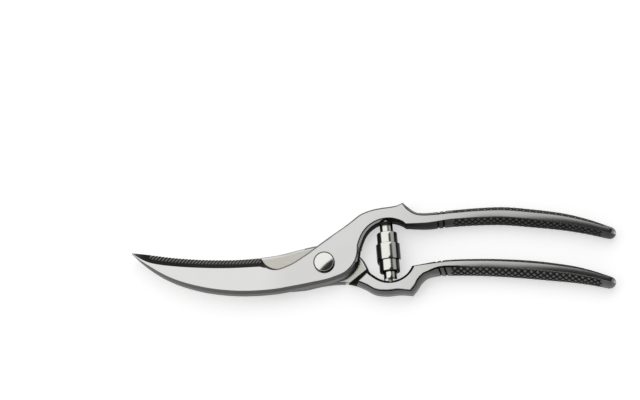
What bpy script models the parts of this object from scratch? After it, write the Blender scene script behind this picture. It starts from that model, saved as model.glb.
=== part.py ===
"""Poultry shears: two forged levers on a lap pivot, pushed apart by a double volute spring.

Metres, +Z up. The shears lie closed on their back, with the blade tips towards -X. The origin is
on the pivot axis, in the plane of the back.
"""
import math

import bmesh
import bpy
import numpy as np
from mathutils import Matrix, Vector

# Stock and fits
STOCK = 0.0084
LAP_GAP = 0.0003
CLEARANCE = 0.0003

# Blades, measured from the pivot axis. The teeth reach up a share of the bevel, in per cent
BLADE_LENGTH = 0.1022
FRONT_TIP_THICKNESS = 0.0022
REAR_TIP_THICKNESS = 0.0020
EDGE_LAND = 0.0002
EDGE_BEVEL = 0.0055
REAR_BEVEL = 0.0040
SPINE_ROUND = 0.0023
TOOTH_PITCH = 0.0014
TOOTH_DEPTH = 0.00045
TOOTH_LEAN = 0.0006
TOOTH_REACH = 60.0

# Front blade: share of the run from the notch to the tip, height of the cutting edge and of the spine
NOTCH_START = 0.0337
FRONT_TIP = ((1.000, 0.0057, 0.0047), (0.940, 0.0053, 0.0010))
FRONT_TEETH = (
    (0.860, 0.0047, -0.0033),
    (0.706, 0.0034, -0.0096),
    (0.478, 0.0023, -0.0150),
    (0.210, 0.0022, -0.0176),
    (0.000, 0.0030, -0.0175),
)
# Rear blade: share of the run from its root to the tip, height of the spine and of the cutting edge
REAR_ROOT = 0.0245
REAR_BLADE = (
    (0.987, 0.0051, 0.0043),
    (0.934, 0.0045, 0.0018),
    (0.842, 0.0035, -0.0014),
    (0.645, 0.0022, -0.0056),
    (0.421, 0.0019, -0.0098),
    (0.211, 0.0032, -0.0124),
    (0.000, 0.0055, -0.0149),
)

# Bone notch and the front lever's half of the lap joint: upper point, lower point
NOTCH_RIBS = (
    ((-0.0305, -0.0012), (-0.0290, -0.0171)),
    ((-0.0258, -0.0032), (-0.0240, -0.0165)),
    ((-0.0190, -0.0012), (-0.0165, -0.0151)),
    ((-0.0112, 0.0037), (-0.0060, -0.0129)),
)
FRONT_LAP_RIBS = (
    ((-0.0054, 0.0082), (0.0055, -0.0099)),
    ((-0.0012, 0.0115), (0.0131, -0.0061)),
    ((0.0014, 0.0135), (0.0172, -0.0004)),
)
FRONT_SHOULDER_FOOT = ((0.0027, 0.0145), (0.0186, 0.0072))
FRONT_SHOULDER_TOP = ((0.0032, 0.0149), (0.0186, 0.0078))
# The rear lever's half of the lap joint, as far as the foot of its shoulder
REAR_LAP_RIBS = (
    ((-0.0112, 0.0090), (-0.0105, -0.0135)),
    ((-0.0005, 0.0108), (-0.0005, -0.0112)),
    ((0.0110, 0.0080), (0.0060, -0.0103)),
    ((0.0187, 0.0040), (0.0102, -0.0101)),
)
REAR_SHOULDER_FOOT = ((0.0224, -0.0017), (0.0126, -0.0101))
REAR_SHOULDER_TOP = ((0.0236, -0.0046), (0.0170, -0.0113))

# Upper bow: an arch about its own centre. Angle in degrees, radius of the outer side
ARCH_CENTRE = (0.0333, 0.0087)
ARCH_RADIUS = 0.0141
ARCH_RIBS = (
    (163.6, 0.0287),
    (155.0, 0.0261),
    (145.4, 0.0245),
    (131.9, 0.0236),
    (117.3, 0.0225),
    (102.6, 0.0218),
    (89.7, 0.0220),
    (81.5, 0.0229),
)
ARCH_HORN = (74.9, 0.0250)
ARCH_NECK = ((68.2, 0.0239), (61.7, 0.0233))
ARCH_KINK = (54.7, 0.0234)

# Lower bow: a cradle about its own centre. Angle in degrees, radius of the outer side
CRADLE_CENTRE = (0.0339, 0.0031)
CRADLE_RADIUS = 0.0124
CRADLE_RIBS = (
    (-128.0, 0.0205),
    (-110.0, 0.0203),
    (-92.0, 0.0197),
    (-73.0, 0.0199),
)
CRADLE_HORN = (-57.5, 0.0230)
CRADLE_NECK = ((-47.5, 0.0219), (-39.0, 0.0214), (-29.0, 0.0222))
CRADLE_KINK = (-20.5, 0.0262)
NECK_BULGE = 0.0030
BOW_CHAMFER = 0.0011
CRADLE_CHAMFER = 0.0021

# Handles: share of the run from the neck to the end, height of the middle, share of the full width
HANDLE_LENGTH = 0.1500
HANDLE_WIDTH = 0.0096
HANDLE_DEPTH = 0.0082
HANDLE_END_ROUND = 0.0035
# How far in from its edge each handle's upper and lower side is rounded
UPPER_INSETS = (0.0030, 0.0036)
LOWER_INSETS = (0.0023, 0.0047)
UPPER_NECK_X = 0.0500
UPPER_HANDLE = (
    (0.000, 0.0235, 0.88),
    (0.160, 0.0250, 0.92),
    (0.295, 0.0260, 0.96),
    (0.430, 0.0264, 1.00),
    (0.590, 0.0252, 0.99),
    (0.780, 0.0229, 0.91),
    (0.900, 0.0203, 0.78),
    (1.000, 0.0175, 0.64),
)
LOWER_NECK_X = 0.0630
LOWER_HANDLE = (
    (0.000, -0.0018, 0.84),
    (0.180, -0.0013, 0.92),
    (0.350, -0.0016, 0.97),
    (0.510, -0.0024, 1.00),
    (0.670, -0.0037, 0.97),
    (0.800, -0.0051, 0.89),
    (0.905, -0.0069, 0.77),
    (1.000, -0.0090, 0.64),
)

# Pivot: a domed bolt in a sleeve nut, with a friction washer under the nut's flange
HEAD_RADIUS = 0.0057
HEAD_RIM = 0.0014
HEAD_DOME = 0.0020
DISH_DEPTH = 0.0003
DISH_SLOPE = 0.0030
BOLT_SHANK_RADIUS = 0.0018
BARREL_RADIUS = 0.0032
FLANGE_RADIUS = 0.0050
FLANGE_THICKNESS = 0.0012
NUT_FLOOR = 0.0008
WASHER_THICKNESS = 0.0005
SPANNER_HOLE_RADIUS = 0.0007
SPANNER_HOLE_OFFSET = 0.0035
SPANNER_HOLE_DEPTH = 0.0006

# Volute spring and the pegs that hold its ends. The turns are those of each half, angles in degrees
STRIP_WIDTH = 0.0088
STRIP_THICKNESS = 0.00045
TURN_GAP = 0.00045
INNER_STEP = 0.00095
SPRING_RADIUS = 0.0062
SPRING_TURNS = 3.3
STAGE_RISE = 0.0060
SPRING_DROP = 0.0010
JOG_ANGLE = 90.0
LEVEL_ANGLE = 72.0
CLIMB_ANGLE = 144.0
END_CLIMB_ANGLE = 180.0
SPRING_BACK_GAP = 0.0001
UPPER_SEAT_ANGLE = 98.5
LOWER_SEAT_ANGLE = -86.0
PEG_RADIUS = 0.0012
PEG_SUNK = 0.0035
PEG_PROUD = 0.0045
PEG_NOSE = 0.0005

# Forms of the sections and fineness of the meshes. The fill is a share of the width, in per cent
SECTION_FILL = 90.0
GRIP_LEAN = 62.0
END_ANGLES = (30.0, 55.0, 75.0)
SHARP_ANGLE = 28.0
TURN_STEPS = 32
DOME_STEPS = 8
BORE_SIDES = 24
STRIP_POINTS = 24
MERGE = 0.00001
CUT_OVERRUN = 0.002

REAR_TOP = (STOCK - LAP_GAP) / 2
FRONT_BOTTOM = (STOCK + LAP_GAP) / 2
HANDLE_BACK = (STOCK - HANDLE_DEPTH) / 2
HANDLE_FRONT = HANDLE_BACK + HANDLE_DEPTH
DISH_FLOOR = STOCK - DISH_DEPTH
HEAD_SEAT = DISH_FLOOR + CLEARANCE
WASHER_BACK = FLANGE_THICKNESS + CLEARANCE
RECESS_FLOOR = WASHER_BACK + WASHER_THICKNESS + CLEARANCE
BORE_RADIUS = BARREL_RADIUS + CLEARANCE
SPRING_AXIS_Z = SPRING_RADIUS + SPRING_BACK_GAP


def clear_scene():
    """Remove what the scene holds."""
    for obj in list(bpy.data.objects):
        bpy.data.objects.remove(obj, do_unlink=True)
    for group in list(bpy.data.collections):
        bpy.data.collections.remove(group)


def new_collection(name):
    """Add a collection to the scene."""
    group = bpy.data.collections.new(name)
    bpy.context.scene.collection.children.link(group)
    return group


def steel(name, colour, roughness):
    """A polished steel surface."""
    material = bpy.data.materials.new(name)
    material.use_nodes = True
    shader = material.node_tree.nodes["Principled BSDF"]
    shader.inputs["Base Color"].default_value = (*colour, 1.0)
    shader.inputs["Metallic"].default_value = 1.0
    shader.inputs["Roughness"].default_value = roughness
    return material


def add_object(name, data, group, material=None):
    """Link an object and give its surface a material."""
    obj = bpy.data.objects.new(name, data)
    group.objects.link(obj)
    if material:
        data.materials.append(material)
    return obj


def as_cutter(obj):
    """Mark an object that only cuts others."""
    obj.hide_render = True
    obj.display_type = "WIRE"
    return obj


def cut(obj, cutter):
    """Take a cutter's shape out of an object."""
    modifier = obj.modifiers.new(cutter.name, "BOOLEAN")
    modifier.operation = "DIFFERENCE"
    modifier.solver = "EXACT"
    modifier.object = cutter


def polar(centre, radius, degrees):
    """The point at an angle and a distance from a centre, in plan."""
    turn = math.radians(degrees)
    return (centre[0] + radius * math.cos(turn), centre[1] + radius * math.sin(turn))


# Cross-sections. Each side of a lever has six points, from the front face round to the back:
# its distance in from the lever's edge, and its height.


def edge_side(bevel, top, bottom):
    """A cutting edge on the blade's flat, with its bevel rising to the front face."""
    rise = top - bottom - EDGE_LAND
    reach = TOOTH_REACH / 100
    return (
        (bevel, top),
        (bevel * reach, bottom + EDGE_LAND + rise * reach),
        (0.0, bottom + EDGE_LAND),
        (0.0, bottom),
        (bevel / 3, bottom),
        (bevel * 2 / 3, bottom),
    )


def flipped(side, top, bottom):
    """The same side with its front and back exchanged."""
    return tuple((inset, top + bottom - height) for inset, height in reversed(side))


def wall_side(chamfer, top, bottom):
    """An upright wall with a chamfer at the front and at the back."""
    third = (top - bottom) / 3
    return (
        (chamfer, top),
        (0.0, top - chamfer),
        (0.0, top - third),
        (0.0, bottom + third),
        (0.0, bottom + chamfer),
        (chamfer, bottom),
    )


def spine_side(radius, top, bottom):
    """A rounded spine, softer at the front than on the blade's flat."""
    soft = radius / 2
    return (
        (radius, top),
        (radius * (1 - math.sqrt(0.5)), top - radius * (1 - math.sqrt(0.5))),
        (0.0, top - radius),
        (0.0, bottom + soft),
        (soft * (1 - math.sqrt(0.5)), bottom + soft * (1 - math.sqrt(0.5))),
        (soft, bottom),
    )


def grip_side(inset, top, bottom):
    """A bulging handle side that leaves the flats at a crisp edge."""
    lean = math.radians(GRIP_LEAN)
    middle = (top + bottom) / 2
    half = (top - bottom) / 2
    side = []
    for step in range(6):
        turn = lean * (1 - step * 2 / 5)
        bulge = (1 - math.cos(turn)) / (1 - math.cos(lean))
        side.append((inset * bulge, middle + half * math.sin(turn) / math.sin(lean)))
    return tuple(side)


def rib(upper, lower, steps=3, sides=None, upper_corner=False, lower_corner=False):
    """A pair of points across a lever, with the section there and the steps to the next pair."""
    return {
        "ends": (upper, lower),
        "steps": steps,
        "sides": sides,
        "corners": (upper_corner, lower_corner),
    }


def edge_curve(ribs, end):
    """A smooth curve through one end of every rib, broken where that end is a corner."""
    points = np.array([r["ends"][end] for r in ribs])
    corner = [r["corners"][end] for r in ribs]
    chord = np.diff(points, axis=0)
    length = np.linalg.norm(chord, axis=1)[:, None]
    slope = chord / length
    inner = (slope[:-1] * length[1:] + slope[1:] * length[:-1]) / (length[:-1] + length[1:])
    tangent = np.vstack([slope[:1], inner, slope[-1:]])
    pieces = []
    for i, here in enumerate(ribs[:-1]):
        t = (np.arange(here["steps"]) / here["steps"])[:, None]
        leave = length[i] * (slope[i] if corner[i] else tangent[i])
        arrive = length[i] * (slope[i] if corner[i + 1] else tangent[i + 1])
        pieces.append(
            points[i] * (1 + 2 * t) * (1 - t) ** 2
            + points[i + 1] * t * t * (3 - 2 * t)
            + leave * t * (1 - t) ** 2
            - arrive * t * t * (1 - t)
        )
    return np.vstack(pieces + [points[-1:]])


def stations(ribs):
    """Upper and lower edge points, and the rib count reached, at every step along a lever."""
    upper = edge_curve(ribs, 0)
    lower = edge_curve(ribs, 1)
    reached = [i + np.arange(r["steps"]) / r["steps"] for i, r in enumerate(ribs[:-1])]
    reached = np.concatenate(reached + [[len(ribs) - 1.0]])
    return np.column_stack([upper, lower, reached])


def evenly(track, first, last, count):
    """Space the stations between two ribs evenly along the upper edge."""
    inside = (track[:, 4] >= first) & (track[:, 4] <= last)
    run = track[inside]
    travel = np.concatenate([[0], np.cumsum(np.linalg.norm(np.diff(run[:, :2], axis=0), axis=1))])
    wanted = np.linspace(0, travel[-1], count + 1)
    even = np.column_stack([np.interp(wanted, travel, column) for column in run.T])
    return np.vstack([track[track[:, 4] < first], even, track[track[:, 4] > last]])


def sections(track, ribs):
    """Rings of twelve points, blended between the ribs that give a section."""
    given = [i for i, r in enumerate(ribs) if r["sides"]]
    table = np.array([ribs[i]["sides"] for i in given])
    shape = (len(track),) + table.shape[1:]
    blended = np.empty(shape)
    for index in np.ndindex(table.shape[1:]):
        blended[(slice(None),) + index] = np.interp(track[:, 4], given, table[(slice(None),) + index])
    upper = track[:, 0:2]
    lower = track[:, 2:4]
    width = np.linalg.norm(lower - upper, axis=1)
    across = (lower - upper) / width[:, None]
    deepest = blended[:, 0, :, 0].max(axis=1) + blended[:, 1, :, 0].max(axis=1)
    squeeze = np.minimum(1.0, SECTION_FILL / 100 * width / deepest)
    inset = blended[:, :, :, 0] * squeeze[:, None, None]
    first = upper[:, None] + inset[:, 0, :, None] * across[:, None]
    second = lower[:, None] - inset[:, 1, :, None] * across[:, None]
    rings_first = np.dstack([first, blended[:, 0, :, 1]])
    rings_second = np.dstack([second, blended[:, 1, :, 1]])
    return np.concatenate([rings_first, rings_second[:, ::-1]], axis=1)


def rounded_end(ring, forward, reach):
    """Rings that close a handle with a dome ahead of its last ring."""
    middle = ring.mean(axis=0)
    domed = []
    for degrees in END_ANGLES:
        turn = math.radians(degrees)
        domed.append(middle + (ring - middle) * math.cos(turn) + forward * reach * math.sin(turn))
    return np.array(domed)


def loft(name, rings):
    """A closed body skinned over rings of points."""
    count, around = rings.shape[:2]
    index = np.arange(count * around).reshape(count, around)
    after = np.roll(index, -1, axis=1)
    quads = np.stack([index[:-1], after[:-1], after[1:], index[1:]], axis=-1).reshape(-1, 4)
    faces = quads.tolist() + [index[0].tolist(), index[-1].tolist()]
    mesh = bpy.data.meshes.new(name)
    mesh.from_pydata(rings.reshape(-1, 3).tolist(), [], faces)
    form = bmesh.new()
    form.from_mesh(mesh)
    bmesh.ops.triangulate(form, faces=[f for f in form.faces if len(f.verts) > 4])
    bmesh.ops.recalc_face_normals(form, faces=form.faces)
    form.to_mesh(mesh)
    form.free()
    mesh.shade_smooth()
    mesh.set_sharp_from_angle(angle=math.radians(SHARP_ANGLE))
    return mesh


def handle_ribs(table, neck_x, insets):
    """Ribs square to a handle's middle line, from its neck to where its end is rounded."""
    run = HANDLE_LENGTH - HANDLE_END_ROUND - neck_x
    middle = np.array([(neck_x + share * run, height) for share, height, _ in table])
    along = np.gradient(middle, axis=0)
    along /= np.linalg.norm(along, axis=1)[:, None]
    ribs = []
    for (x, y), (dx, dy), (_, _, part) in zip(middle, along, table):
        half = HANDLE_WIDTH * part / 2
        sides = tuple(grip_side(inset * part, HANDLE_FRONT, HANDLE_BACK) for inset in insets)
        ribs.append(rib((x - dy * half, y + dx * half), (x + dy * half, y - dx * half), 3, sides))
    return ribs, Vector((along[-1][0], along[-1][1], 0.0))


def bow_rib(centre, inner_radius, mark, arch, **options):
    """A rib along a ray of a bow; the outer side is the upper end on the arch."""
    inner = polar(centre, inner_radius, mark[0])
    outer = polar(centre, mark[1], mark[0])
    ends = (outer, inner) if arch else (inner, outer)
    return rib(*ends, **options)


def front_lever_mesh():
    """Lower blade with teeth and bone notch, front half of the lap, arch, horn and upper handle."""
    tip_top = FRONT_BOTTOM + FRONT_TIP_THICKNESS
    spine = spine_side(SPINE_ROUND, STOCK, FRONT_BOTTOM)
    wall = wall_side(BOW_CHAMFER, STOCK, FRONT_BOTTOM)
    full = wall_side(BOW_CHAMFER, STOCK, 0.0)
    tip_sides = (
        edge_side(EDGE_BEVEL, tip_top, FRONT_BOTTOM),
        spine_side(SPINE_ROUND / 2, tip_top, FRONT_BOTTOM),
    )
    cutting = edge_side(EDGE_BEVEL, STOCK, FRONT_BOTTOM)
    ribs = []
    for share, edge, back in FRONT_TIP + FRONT_TEETH:
        x = -NOTCH_START - (BLADE_LENGTH - NOTCH_START) * share
        ribs.append(rib((x, edge), (x, back), 4))
    first_tooth = len(FRONT_TIP)
    last_tooth = len(ribs) - 1
    ribs[0]["sides"] = tip_sides
    ribs[last_tooth - 2]["sides"] = (cutting, spine)
    ribs[last_tooth].update(sides=(cutting, spine), corners=(True, False))
    for upper, lower in NOTCH_RIBS:
        ribs.append(rib(upper, lower, 3, (wall, spine)))
    for upper, lower in FRONT_LAP_RIBS:
        ribs.append(rib(upper, lower, 3, (wall, spine)))
    ribs[-1]["sides"] = (wall, wall)
    ribs.append(rib(*FRONT_SHOULDER_FOOT, 1, (wall, wall)))
    ribs.append(rib(*FRONT_SHOULDER_TOP, 2, (full, full)))
    for mark in ARCH_RIBS:
        ribs.append(bow_rib(ARCH_CENTRE, ARCH_RADIUS, mark, True, steps=2))
    ribs.append(bow_rib(ARCH_CENTRE, ARCH_RADIUS, ARCH_HORN, True, steps=2, upper_corner=True))
    for mark in ARCH_NECK:
        ribs.append(bow_rib(ARCH_CENTRE, ARCH_RADIUS, mark, True, steps=2))
    kink = bow_rib(ARCH_CENTRE, ARCH_RADIUS, ARCH_KINK, True, sides=(full, full), lower_corner=True)
    grip, forward = handle_ribs(UPPER_HANDLE, UPPER_NECK_X, UPPER_INSETS)
    grip[0]["sides"] = None
    ribs += [kink] + grip

    track = stations(ribs)
    run = np.linalg.norm(np.diff(edge_curve(ribs[first_tooth : last_tooth + 1], 0), axis=0), axis=1)
    teeth = round(run.sum() / TOOTH_PITCH)
    track = evenly(track, first_tooth, last_tooth, 2 * teeth)
    rings = sections(track, ribs)
    gullet = np.flatnonzero((track[:, 4] >= first_tooth) & (track[:, 4] <= last_tooth))[1::2]
    across = (track[gullet, 2:4] - track[gullet, 0:2])
    across /= np.linalg.norm(across, axis=1)[:, None]
    for point in (2, 3):
        rings[gullet, point, :2] += TOOTH_DEPTH * across
    rings[gullet, 1, 0] += TOOTH_LEAN
    dome = rounded_end(rings[-1], np.array(forward), HANDLE_END_ROUND)
    return loft("front_lever", np.concatenate([rings, dome]))


def rear_lever_mesh():
    """Upper blade, rear half of the lap with its sloping shoulder, cradle, horn and lower handle."""
    tip_bottom = REAR_TOP - REAR_TIP_THICKNESS
    wall = wall_side(BOW_CHAMFER, REAR_TOP, 0.0)
    full = wall_side(BOW_CHAMFER, STOCK, 0.0)
    outer = wall_side(CRADLE_CHAMFER, STOCK, 0.0)
    spine = flipped(spine_side(SPINE_ROUND, REAR_TOP, 0.0), REAR_TOP, 0.0)
    cutting = flipped(edge_side(REAR_BEVEL, REAR_TOP, 0.0), REAR_TOP, 0.0)
    tip_spine = flipped(spine_side(SPINE_ROUND / 2, REAR_TOP, tip_bottom), REAR_TOP, tip_bottom)
    tip_edge = flipped(edge_side(REAR_BEVEL, REAR_TOP, tip_bottom), REAR_TOP, tip_bottom)
    ribs = []
    for share, back, edge in REAR_BLADE:
        x = -REAR_ROOT - (BLADE_LENGTH - REAR_ROOT) * share
        ribs.append(rib((x, back), (x, edge), 4))
    ribs[0]["sides"] = (tip_spine, tip_edge)
    ribs[-4]["sides"] = (spine, cutting)
    ribs[-1].update(sides=(spine, cutting), steps=8)
    for upper, lower in REAR_LAP_RIBS:
        ribs.append(rib(upper, lower, 3, (wall, wall)))
    ribs.append(rib(*REAR_SHOULDER_FOOT, 1, (wall, wall)))
    ribs.append(rib(*REAR_SHOULDER_TOP, 2, (full, outer)))
    for mark in CRADLE_RIBS:
        ribs.append(bow_rib(CRADLE_CENTRE, CRADLE_RADIUS, mark, False, steps=3))
    ribs.append(bow_rib(CRADLE_CENTRE, CRADLE_RADIUS, CRADLE_HORN, False, steps=3, lower_corner=True))
    for mark in CRADLE_NECK:
        ribs.append(bow_rib(CRADLE_CENTRE, CRADLE_RADIUS, mark, False, steps=2))
    ribs[-len(CRADLE_NECK)]["sides"] = (full, outer)
    bulge = grip_side(NECK_BULGE, STOCK, 0.0)
    kink = bow_rib(CRADLE_CENTRE, CRADLE_RADIUS, CRADLE_KINK, False, sides=(full, bulge), upper_corner=True)
    grip, forward = handle_ribs(LOWER_HANDLE, LOWER_NECK_X, LOWER_INSETS)
    grip[0]["sides"] = None
    ribs += [kink] + grip
    rings = sections(stations(ribs), ribs)
    dome = rounded_end(rings[-1], np.array(forward), HANDLE_END_ROUND)
    return loft("rear_lever", np.concatenate([rings, dome]))


def turned(name, profile, group, material=None):
    """A turned piece about Z; the profile runs from the top down its outer side."""
    mesh = bpy.data.meshes.new(name)
    edges = [(i, i + 1) for i in range(len(profile) - 1)]
    mesh.from_pydata([(radius, 0.0, height) for radius, height in profile], edges, [])
    obj = add_object(name, mesh, group, material)
    screw = obj.modifiers.new("turn", "SCREW")
    screw.axis = "Z"
    screw.steps = TURN_STEPS
    screw.render_steps = TURN_STEPS
    screw.use_merge_vertices = True
    screw.merge_threshold = MERGE
    return obj


def rod(name, radius, length, group):
    """A round cutter along Z, from the origin upwards."""
    mesh = bpy.data.meshes.new(name)
    form = bmesh.new()
    bmesh.ops.create_cone(
        form,
        cap_ends=True,
        segments=BORE_SIDES,
        radius1=radius,
        radius2=radius,
        depth=length,
        matrix=Matrix.Translation((0.0, 0.0, length / 2)),
    )
    form.to_mesh(mesh)
    form.free()
    return as_cutter(add_object(name, mesh, group))


def bore_levers(front, rear, cutters):
    """Bore both levers for the pivot, with a dish for the bolt's head and a recess for the nut."""
    bore = rod("pivot_bore", BORE_RADIUS, STOCK + 2 * CUT_OVERRUN, cutters)
    bore.location.z = -CUT_OVERRUN
    floor_radius = HEAD_RADIUS + CLEARANCE
    mouth_radius = floor_radius + DISH_SLOPE * (1 + CUT_OVERRUN / DISH_DEPTH)
    dish_profile = [
        (0.0, STOCK + CUT_OVERRUN),
        (mouth_radius, STOCK + CUT_OVERRUN),
        (floor_radius, DISH_FLOOR),
        (0.0, DISH_FLOOR),
    ]
    dish = as_cutter(turned("head_dish", dish_profile, cutters))
    recess = rod("nut_recess", FLANGE_RADIUS + CLEARANCE, RECESS_FLOOR + CUT_OVERRUN, cutters)
    recess.location.z = -CUT_OVERRUN
    for lever, cutter in ((front, bore), (front, dish), (rear, bore), (rear, recess)):
        cut(lever, cutter)


def pivot_bolt(group, material):
    """Domed head over the front lever and a shank that screws into the sleeve nut."""
    rim = HEAD_SEAT + HEAD_RIM
    ball = (HEAD_RADIUS**2 + HEAD_DOME**2) / (2 * HEAD_DOME)
    spread = math.asin(HEAD_RADIUS / ball)
    profile = [(0.0, rim + HEAD_DOME)]
    for step in range(1, DOME_STEPS + 1):
        turn = spread * step / DOME_STEPS
        profile.append((ball * math.sin(turn), rim + HEAD_DOME - ball * (1 - math.cos(turn))))
    shank_end = NUT_FLOOR + CLEARANCE
    profile += [
        (HEAD_RADIUS, HEAD_SEAT),
        (BOLT_SHANK_RADIUS, HEAD_SEAT),
        (BOLT_SHANK_RADIUS, shank_end),
        (0.0, shank_end),
    ]
    return turned("pivot_bolt", profile, group, material)


def pivot_nut(group, cutters, material):
    """Sleeve nut: a blind barrel that both levers turn on, and a flange flush with the back."""
    bore = BOLT_SHANK_RADIUS + CLEARANCE
    barrel_top = HEAD_SEAT - CLEARANCE
    profile = [
        (0.0, NUT_FLOOR),
        (bore, NUT_FLOOR),
        (bore, barrel_top),
        (BARREL_RADIUS, barrel_top),
        (BARREL_RADIUS, FLANGE_THICKNESS),
        (FLANGE_RADIUS, FLANGE_THICKNESS),
        (FLANGE_RADIUS, 0.0),
        (0.0, 0.0),
    ]
    nut = turned("pivot_nut", profile, group, material)
    depth = SPANNER_HOLE_DEPTH + CUT_OVERRUN
    for side in (-1, 1):
        hole = rod(f"spanner_hole_{side + 1}", SPANNER_HOLE_RADIUS, depth, cutters)
        hole.location = (side * SPANNER_HOLE_OFFSET, 0.0, -CUT_OVERRUN)
        cut(nut, hole)
    return nut


def pivot_washer(group, material):
    """Flat ring between the nut's flange and the floor of the rear lever's recess."""
    top = WASHER_BACK + WASHER_THICKNESS
    profile = [
        (BORE_RADIUS, top),
        (FLANGE_RADIUS, top),
        (FLANGE_RADIUS, WASHER_BACK),
        (BORE_RADIUS, WASHER_BACK),
        (BORE_RADIUS, top),
    ]
    return turned("pivot_washer", profile, group, material)


def spring_seats():
    """The points of the two bow walls between which the spring stands."""
    upper = polar(ARCH_CENTRE, ARCH_RADIUS, UPPER_SEAT_ANGLE)
    lower = polar(CRADLE_CENTRE, CRADLE_RADIUS, LOWER_SEAT_ANGLE)
    return Vector((*upper, SPRING_AXIS_Z)), Vector((*lower, SPRING_AXIS_Z))


def upright(base, towards):
    """A placement with Z along the way from one point to another."""
    turn = (towards - base).to_track_quat("Z", "Y").to_matrix().to_4x4()
    return Matrix.Translation(base) @ turn


def spring_peg(name, seat, towards, lever, groups, material):
    """Stud pressed into a blind hole in a bow wall, standing inside the spring's end turn."""
    profile = [
        (0.0, PEG_PROUD),
        (PEG_RADIUS - PEG_NOSE, PEG_PROUD),
        (PEG_RADIUS, PEG_PROUD - PEG_NOSE),
        (PEG_RADIUS, -PEG_SUNK),
        (0.0, -PEG_SUNK),
    ]
    peg = turned(name, profile, groups["parts"], material)
    peg.matrix_world = upright(seat, towards)
    depth = PEG_SUNK + CLEARANCE
    hole = rod(f"{name}_hole", PEG_RADIUS + CLEARANCE, depth + CUT_OVERRUN, groups["cutters"])
    hole.matrix_world = upright(seat, towards) @ Matrix.Translation((0.0, 0.0, -depth))
    cut(lever, hole)
    return peg


def ease(value):
    """A smooth climb from 0 to 1."""
    t = np.clip(value, 0, 1)
    return t * t * (3 - 2 * t)


def stage_steps():
    """How much narrower each stage of the spring is than the one before it."""
    inner = math.ceil(SPRING_TURNS - 0.5) - 1
    return [STRIP_THICKNESS + TURN_GAP] + [INNER_STEP] * inner


def strip_path(length):
    """Middle line of the strip, which is widest at mid length and one stage narrower each turn out.

    It runs level round the front and climbs at the back. The two halves of the middle turn part
    there by more than the strip's width, and the end turn climbs once more to reach the seat.
    """
    count = round(SPRING_TURNS * STRIP_POINTS)
    turns = np.arange(-count, count + 1) / STRIP_POINTS
    away = np.abs(turns)
    jog = JOG_ANGLE / 360
    radius = np.full(len(turns), SPRING_RADIUS - STRIP_THICKNESS / 2)
    for stage, step in enumerate(stage_steps()):
        radius -= step * ease((away - stage - 0.5) / jog + 0.5)
    travel = (length - STRIP_WIDTH) / 2
    reach = travel + np.sign(turns) * SPRING_DROP
    last_back = math.floor(SPRING_TURNS) - 0.5
    climb = STAGE_RISE * ease((away * 360 - LEVEL_ANGLE) / CLIMB_ANGLE)
    climb += (reach - STAGE_RISE) * ease((away - last_back) * 360 / END_CLIMB_ANGLE + 0.5)
    height = STRIP_WIDTH / 2 + travel - SPRING_DROP + np.sign(turns) * climb
    angle = math.pi * (2 * turns + 0.5)
    return np.column_stack([radius * np.cos(angle), radius * np.sin(angle), height]), radius


def least_turn_gap(path, radius):
    """Least clear distance between neighbouring turns of the strip."""
    gaps = []
    for turn in range(1, int(2 * SPRING_TURNS) + 1):
        skip = turn * STRIP_POINTS
        radial = np.abs(radius[skip:] - radius[:-skip]) - STRIP_THICKNESS
        axial = np.abs(path[skip:, 2] - path[:-skip, 2]) - STRIP_WIDTH
        corner = np.hypot(np.maximum(radial, 0), np.maximum(axial, 0))
        gaps.append(np.where((radial > 0) & (axial > 0), corner, np.maximum(radial, axial)).min())
    return min(gaps)


def buffer_spring(group, material):
    """Double volute spring of one flat strip, standing between the two bow walls."""
    upper, lower = spring_seats()
    end_radius = SPRING_RADIUS - sum(stage_steps())
    sag = ARCH_RADIUS - math.sqrt(ARCH_RADIUS**2 - end_radius**2)
    dip = CRADLE_RADIUS - math.sqrt(CRADLE_RADIUS**2 - end_radius**2)
    length = (upper - lower).length - sag - dip - 2 * CLEARANCE
    path, radius = strip_path(length)
    print(f"buffer_spring: least gap between turns {least_turn_gap(path, radius) * 1000:.2f} mm")
    data = bpy.data.curves.new("buffer_spring", "CURVE")
    data.dimensions = "3D"
    data.twist_mode = "Z_UP"
    data.extrude = (STRIP_WIDTH - STRIP_THICKNESS) / 2
    data.bevel_depth = STRIP_THICKNESS / 2
    data.bevel_resolution = 1
    data.use_fill_caps = True
    line = data.splines.new("POLY")
    line.points.add(len(path) - 1)
    for point, place in zip(line.points, path):
        point.co = (*place, 1.0)
    spring = add_object("buffer_spring", data, group, material)
    foot = upright(lower, upper)
    spring.matrix_world = foot @ Matrix.Translation((0.0, 0.0, dip + CLEARANCE))
    return spring


def main():
    """Build the shears."""
    clear_scene()
    parts = new_collection("poultry_shears")
    cutters = new_collection("cutters")
    groups = {"parts": parts, "cutters": cutters}
    forged = steel("forged_steel", (0.72, 0.71, 0.69), 0.18)
    bright = steel("bright_steel", (0.80, 0.79, 0.77), 0.10)
    sprung = steel("spring_steel", (0.66, 0.64, 0.60), 0.22)
    plain = steel("plain_steel", (0.55, 0.55, 0.54), 0.35)

    front = add_object("front_lever", front_lever_mesh(), parts, forged)
    rear = add_object("rear_lever", rear_lever_mesh(), parts, forged)

    bore_levers(front, rear, cutters)

    pivot_bolt(parts, bright)
    pivot_nut(parts, cutters, plain)
    pivot_washer(parts, plain)
    upper, lower = spring_seats()
    spring_peg("upper_spring_peg", upper, lower, front, groups, plain)
    peg = spring_peg("lower_spring_peg", lower, upper, rear, groups, plain)
    buffer_spring(parts, sprung)

    axis = bpy.data.objects.new("rear_half_axis", None)
    parts.objects.link(axis)
    for moving in (rear, peg):
        placed = moving.matrix_world.copy()
        moving.parent = axis
        moving.matrix_world = placed


main()
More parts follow.
